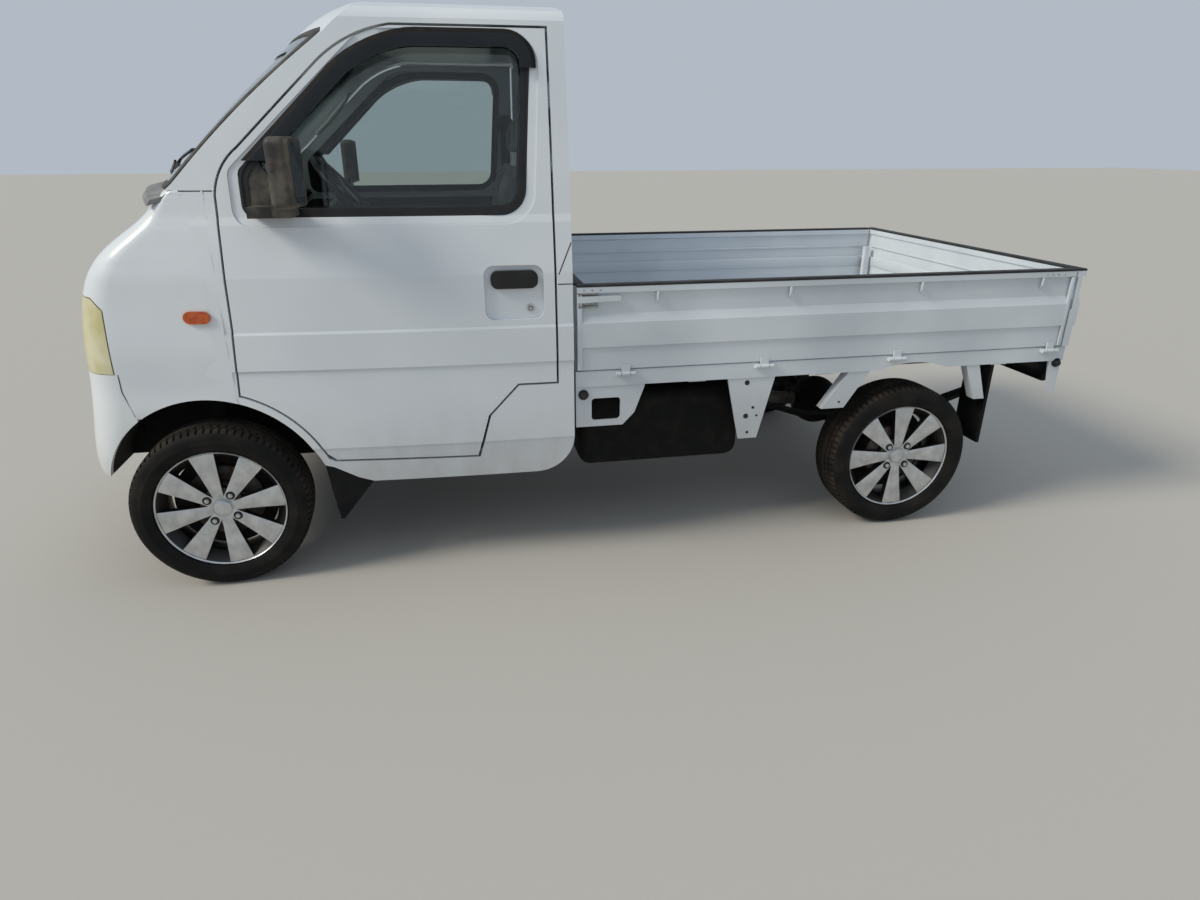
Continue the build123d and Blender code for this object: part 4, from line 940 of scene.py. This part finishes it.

# Trim on the cab's inside: hardboard door cards in dark vinyl with an armrest and winder,
# and a pale headlining.
CARD = [(300, 0, 655), (880, 0, 560), (1040, 0, 700), (1050, 0, 1122), (190, 0, 1122), (190, 0, 850)]
CARD_ROUND = [40, 60, 40, 30, 20, 30]
dark_vinyl = surface("dark_grained_vinyl", "#1d1f21", 0.55, ("#191b1d", "#292b2e"), 90, grit=(2.2, 0.25))
light_trim = surface("light_grey_moulded_trim", "#a9ada6", 0.65, ("#a0a49d", "#b4b7b0"), 90,
                     grit=(1.5, 0.15))
for side, word in SIDES:
    shape = bmesh.new()
    round_face(shape, CARD, CARD_ROUND)
    for x in range(290, 1040, 90):
        bmesh.ops.bisect_plane(shape, geom=shape.verts[:] + shape.edges[:] + shape.faces[:], dist=1e-5,
                               plane_co=spot(x, 0, 0), plane_no=Vector((1, 0, 0)))
    lay_on_side(shape.verts, side, -51)
    thicken(shape, shape.faces[:], (0, -side * 8, 0))
    plate(shape, [(520, side * 660, 905), (960, side * 668, 905), (960, side * 668, 955),
                  (520, side * 660, 955)], (0, -side * 62, 0), 16, segments=4)
    bar(shape, (420, side * 662, 880), (420, side * 628, 880), 13, 20, 11)
    bar(shape, (420, side * 634, 880), (520, side * 634, 840), 7, 14, 6)
    bar(shape, (520, side * 640, 840), (520, side * 606, 840), 11, 18, 9)
    add_piece("door_card_" + word, shape, [dark_vinyl], "door_" + word)
shape = bmesh.new()
cells = bmesh.ops.create_grid(shape, x_segments=12, y_segments=24, size=1)
for vert in cells["verts"]:
    x, y = 790 + 310 * vert.co.x, 545 * vert.co.y
    vert.co = spot(x, y, 1726 - y * y / 5274 - 14 * max(-vert.co.x, 0) ** 3)
thicken(shape, shape.faces[:], (0, 0, -4))
add_piece("headlining", shape, [light_trim], "root")

# Grab handles on the windscreen pillars: a bent steel rod moulded over in pale plastic.
for side, word in SIDES:
    tube("grab_handle_" + word, [(402, side * 560, 1540), (400, side * 545, 1520), (383, side * 530, 1500),
                                 (330, side * 535, 1440), (275, side * 545, 1395), (262, side * 565, 1385)],
         9, light_trim, "root")

# Seat belts: black polyester webbing from a guide on the rear pillar down to its reel.
belt_web, tree, shader, place = new_finish("black_polyester_webbing", "#17181a", 0.8)
mottle(tree, shader, place, "#141517", "#222327", 30)
ridges(tree, shader, place, "Z", 25.0, 0.5, 0.5)
shape = bmesh.new()
for side in (LEFT, RIGHT):
    plate(shape, [(1028, side * 610, 1405), (1074, side * 612, 1405), (1066, side * 640, 700),
                  (1020, side * 638, 700)], (0, side * 1.5, 0), 0.4)
    plate(shape, [(1015, side * 606, 1392), (1085, side * 608, 1392), (1085, side * 606, 1440),
                  (1062, side * 602, 1462), (1036, side * 602, 1462), (1015, side * 604, 1440)],
          (0, side * 14, 0), 4)
add_piece("seat_belts", shape, [belt_web], "root")

# Seats: foam pads in sewn covers, dark woven cloth on the faces and pale vinyl on the
# sides. Each pad is stuffed by a cloth simulation; its sewn channels are drawn in after.
SEAT_MIDDLE, SEAT_PITCH, SEAT_HALF, SEAT_SEAM = -345, 690, 208, 150
VOXEL_MM, STUFFING, STUFF_FRAMES = 6, 4, 20
WEAVE_MM = 2.4
seat_cloth, tree, shader, place = new_finish("woven_grey_seat_cloth", "#33363a", 0.9, Sheen_Weight=0.35)
mottle(tree, shader, place, "#2c2f33", "#3f4347", 50)
ridges(tree, shader, place, "DIAGONAL", 1000 / WEAVE_MM / 20, 0.6, 0.7, 1.5)
pale_vinyl = surface("pale_grey_vinyl", "#8d918b", 0.5, ("#858983", "#9a9d97"), 70, grit=(1.8, 0.2))


def stuffed(name, corners, half_wide, round_mm, cap_mm, base=None):
    """A pad sewn to an outline in X and Z, filled by a cloth simulation."""
    shape = bmesh.new()
    plate(shape, [(x, SEAT_MIDDLE - half_wide, z) for x, z in corners], (0, 2 * half_wide, 0), round_mm,
          segments=4)
    bmesh.ops.recalc_face_normals(shape, faces=shape.faces)
    mesh = bpy.data.meshes.new(name)
    shape.to_mesh(mesh)
    shape.free()
    pad = new_object(name, mesh)
    cells = pad.modifiers.new("cells", "REMESH")
    cells.mode = "VOXEL"
    cells.voxel_size = VOXEL_MM / 1000
    graph = bpy.context.evaluated_depsgraph_get()
    fine = bpy.data.meshes.new_from_object(pad.evaluated_get(graph))
    pad.modifiers.clear()
    pad.data = fine
    cloth = pad.modifiers.new("stuffing", "CLOTH")
    cloth.settings.use_pressure = True
    cloth.settings.uniform_pressure_force = STUFFING
    cloth.settings.effector_weights.gravity = 0
    cloth.point_cache.frame_start = 1
    cloth.point_cache.frame_end = STUFF_FRAMES
    for frame in range(1, STUFF_FRAMES + 1):
        bpy.context.scene.frame_set(frame)
    graph = bpy.context.evaluated_depsgraph_get()
    filled = [vert.co.copy() for vert in pad.evaluated_get(graph).data.vertices]
    pad.modifiers.clear()
    for vert, place in zip(fine.vertices, filled):
        move = place - vert.co
        if move.length > cap_mm / 1000:
            move = move.normalized() * cap_mm / 1000
        vert.co = vert.co + move
        if base is not None:
            vert.co.z = max(vert.co.z, base / 1000)
    bpy.context.scene.frame_set(1)
    return pad


def sew(pad, lines, side_seam, depth_mm, wide_mm, face_dir):
    """Draw in the sewn channels of a pad, and give its face and its sides their covers."""
    mesh = pad.data
    for vert in mesh.vertices:
        x, z = (vert.co.x - front_axle_x) * 1000, vert.co.z * 1000
        across = abs(vert.co.y * 1000 - SEAT_MIDDLE)
        facing = vert.normal.dot(face_dir)
        pull = 0
        if facing > 0.3:
            for along_x, along_z, place in lines:
                gap = along_x * x + along_z * z - place if across < side_seam else 1000
                pull = max(pull, math.exp(-(gap / wide_mm) ** 2))
            pull = max(pull, math.exp(-((across - side_seam) / wide_mm) ** 2))
        vert.co = vert.co - vert.normal * pull * depth_mm / 1000
    mesh.materials.clear()
    mesh.materials.append(seat_cloth)
    mesh.materials.append(pale_vinyl)
    for f in mesh.polygons:
        across = abs(f.center.y * 1000 - SEAT_MIDDLE)
        f.material_index = 0 if across < side_seam and f.normal.dot(face_dir) > 0.2 else 1
    twin = bmesh.new()
    twin.from_mesh(mesh)
    made = bmesh.ops.duplicate(twin, geom=twin.verts[:] + twin.edges[:] + twin.faces[:])
    bmesh.ops.translate(twin, verts=new_verts(made), vec=(0, SEAT_PITCH / 1000, 0))
    twin.to_mesh(mesh)
    twin.free()
    mesh.polygons.foreach_set("use_smooth", [True] * len(mesh.polygons))
    rounder = pad.modifiers.new("rounder", "SUBSURF")
    rounder.levels = 1
    rounder.render_levels = 1
    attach(pad, "root")


cushion = stuffed("seat_cushion_pads", [(602, 644), (975, 644), (970, 722), (930, 734), (640, 738),
                                        (604, 722)], SEAT_HALF, 22, 22, 642)
sew(cushion, [(1, 0, 690), (1, 0, 775), (1, 0, 860)], SEAT_SEAM, 6, 8, Vector((0, 0, 1)))
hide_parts("seat_cushions")
lean = Vector((-538, 0, 90)).normalized()
back = stuffed("seat_back_pads", [(944, 764), (1016, 764), (1076, 1272), (1032, 1276), (1000, 1180),
                                  (962, 900)], SEAT_HALF, 20, 20)
sew(back, [(0, 1, 850), (0, 1, 950), (0, 1, 1050), (0, 1, 1150)], SEAT_SEAM, 6, 8, lean)
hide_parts("seat_backs")
rest = stuffed("headrest_pads", [(1038, 1312), (1080, 1312), (1088, 1428), (1048, 1430)], 104, 16, 14)
sew(rest, [], 80, 3, 6, lean)
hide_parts("seat_backs")
shape = bmesh.new()
for middle in (SEAT_MIDDLE, SEAT_MIDDLE + SEAT_PITCH):
    for y in (-60, 60):
        bar(shape, (1056, middle + y, 1262), (1059, middle + y, 1322), 6, 16)
add_piece("headrest_stems", shape, [plated], "root")

# Floor and light: a pale studio floor, one large soft lamp high before the nose, a little
# to the near side, and an even world of the pale blue of open shade.
floor_shape = bmesh.new()
bmesh.ops.create_grid(floor_shape, x_segments=1, y_segments=1, size=40)
floor_mesh = bpy.data.meshes.new("studio_floor")
floor_shape.to_mesh(floor_mesh)
floor_shape.free()
floor_mesh.materials.append(new_finish("pale_floor", "#b9b6b0", 0.9)[0])
new_object("studio_floor", floor_mesh)

sun_data = bpy.data.lights.new("soft_sun", "SUN")
sun_data.energy = 2.3
sun_data.angle = 0.35
sun_data.color = (1.0, 0.93, 0.8)
new_object("soft_sun", sun_data).rotation_euler = (math.radians(52), 0, math.radians(-80))
studio = bpy.data.worlds.new("studio")
studio.use_nodes = True
backdrop = studio.node_tree.nodes["Background"]
backdrop.inputs["Color"].default_value = linear("#dce7f3")
backdrop.inputs["Strength"].default_value = 0.62
bpy.context.scene.world = studio
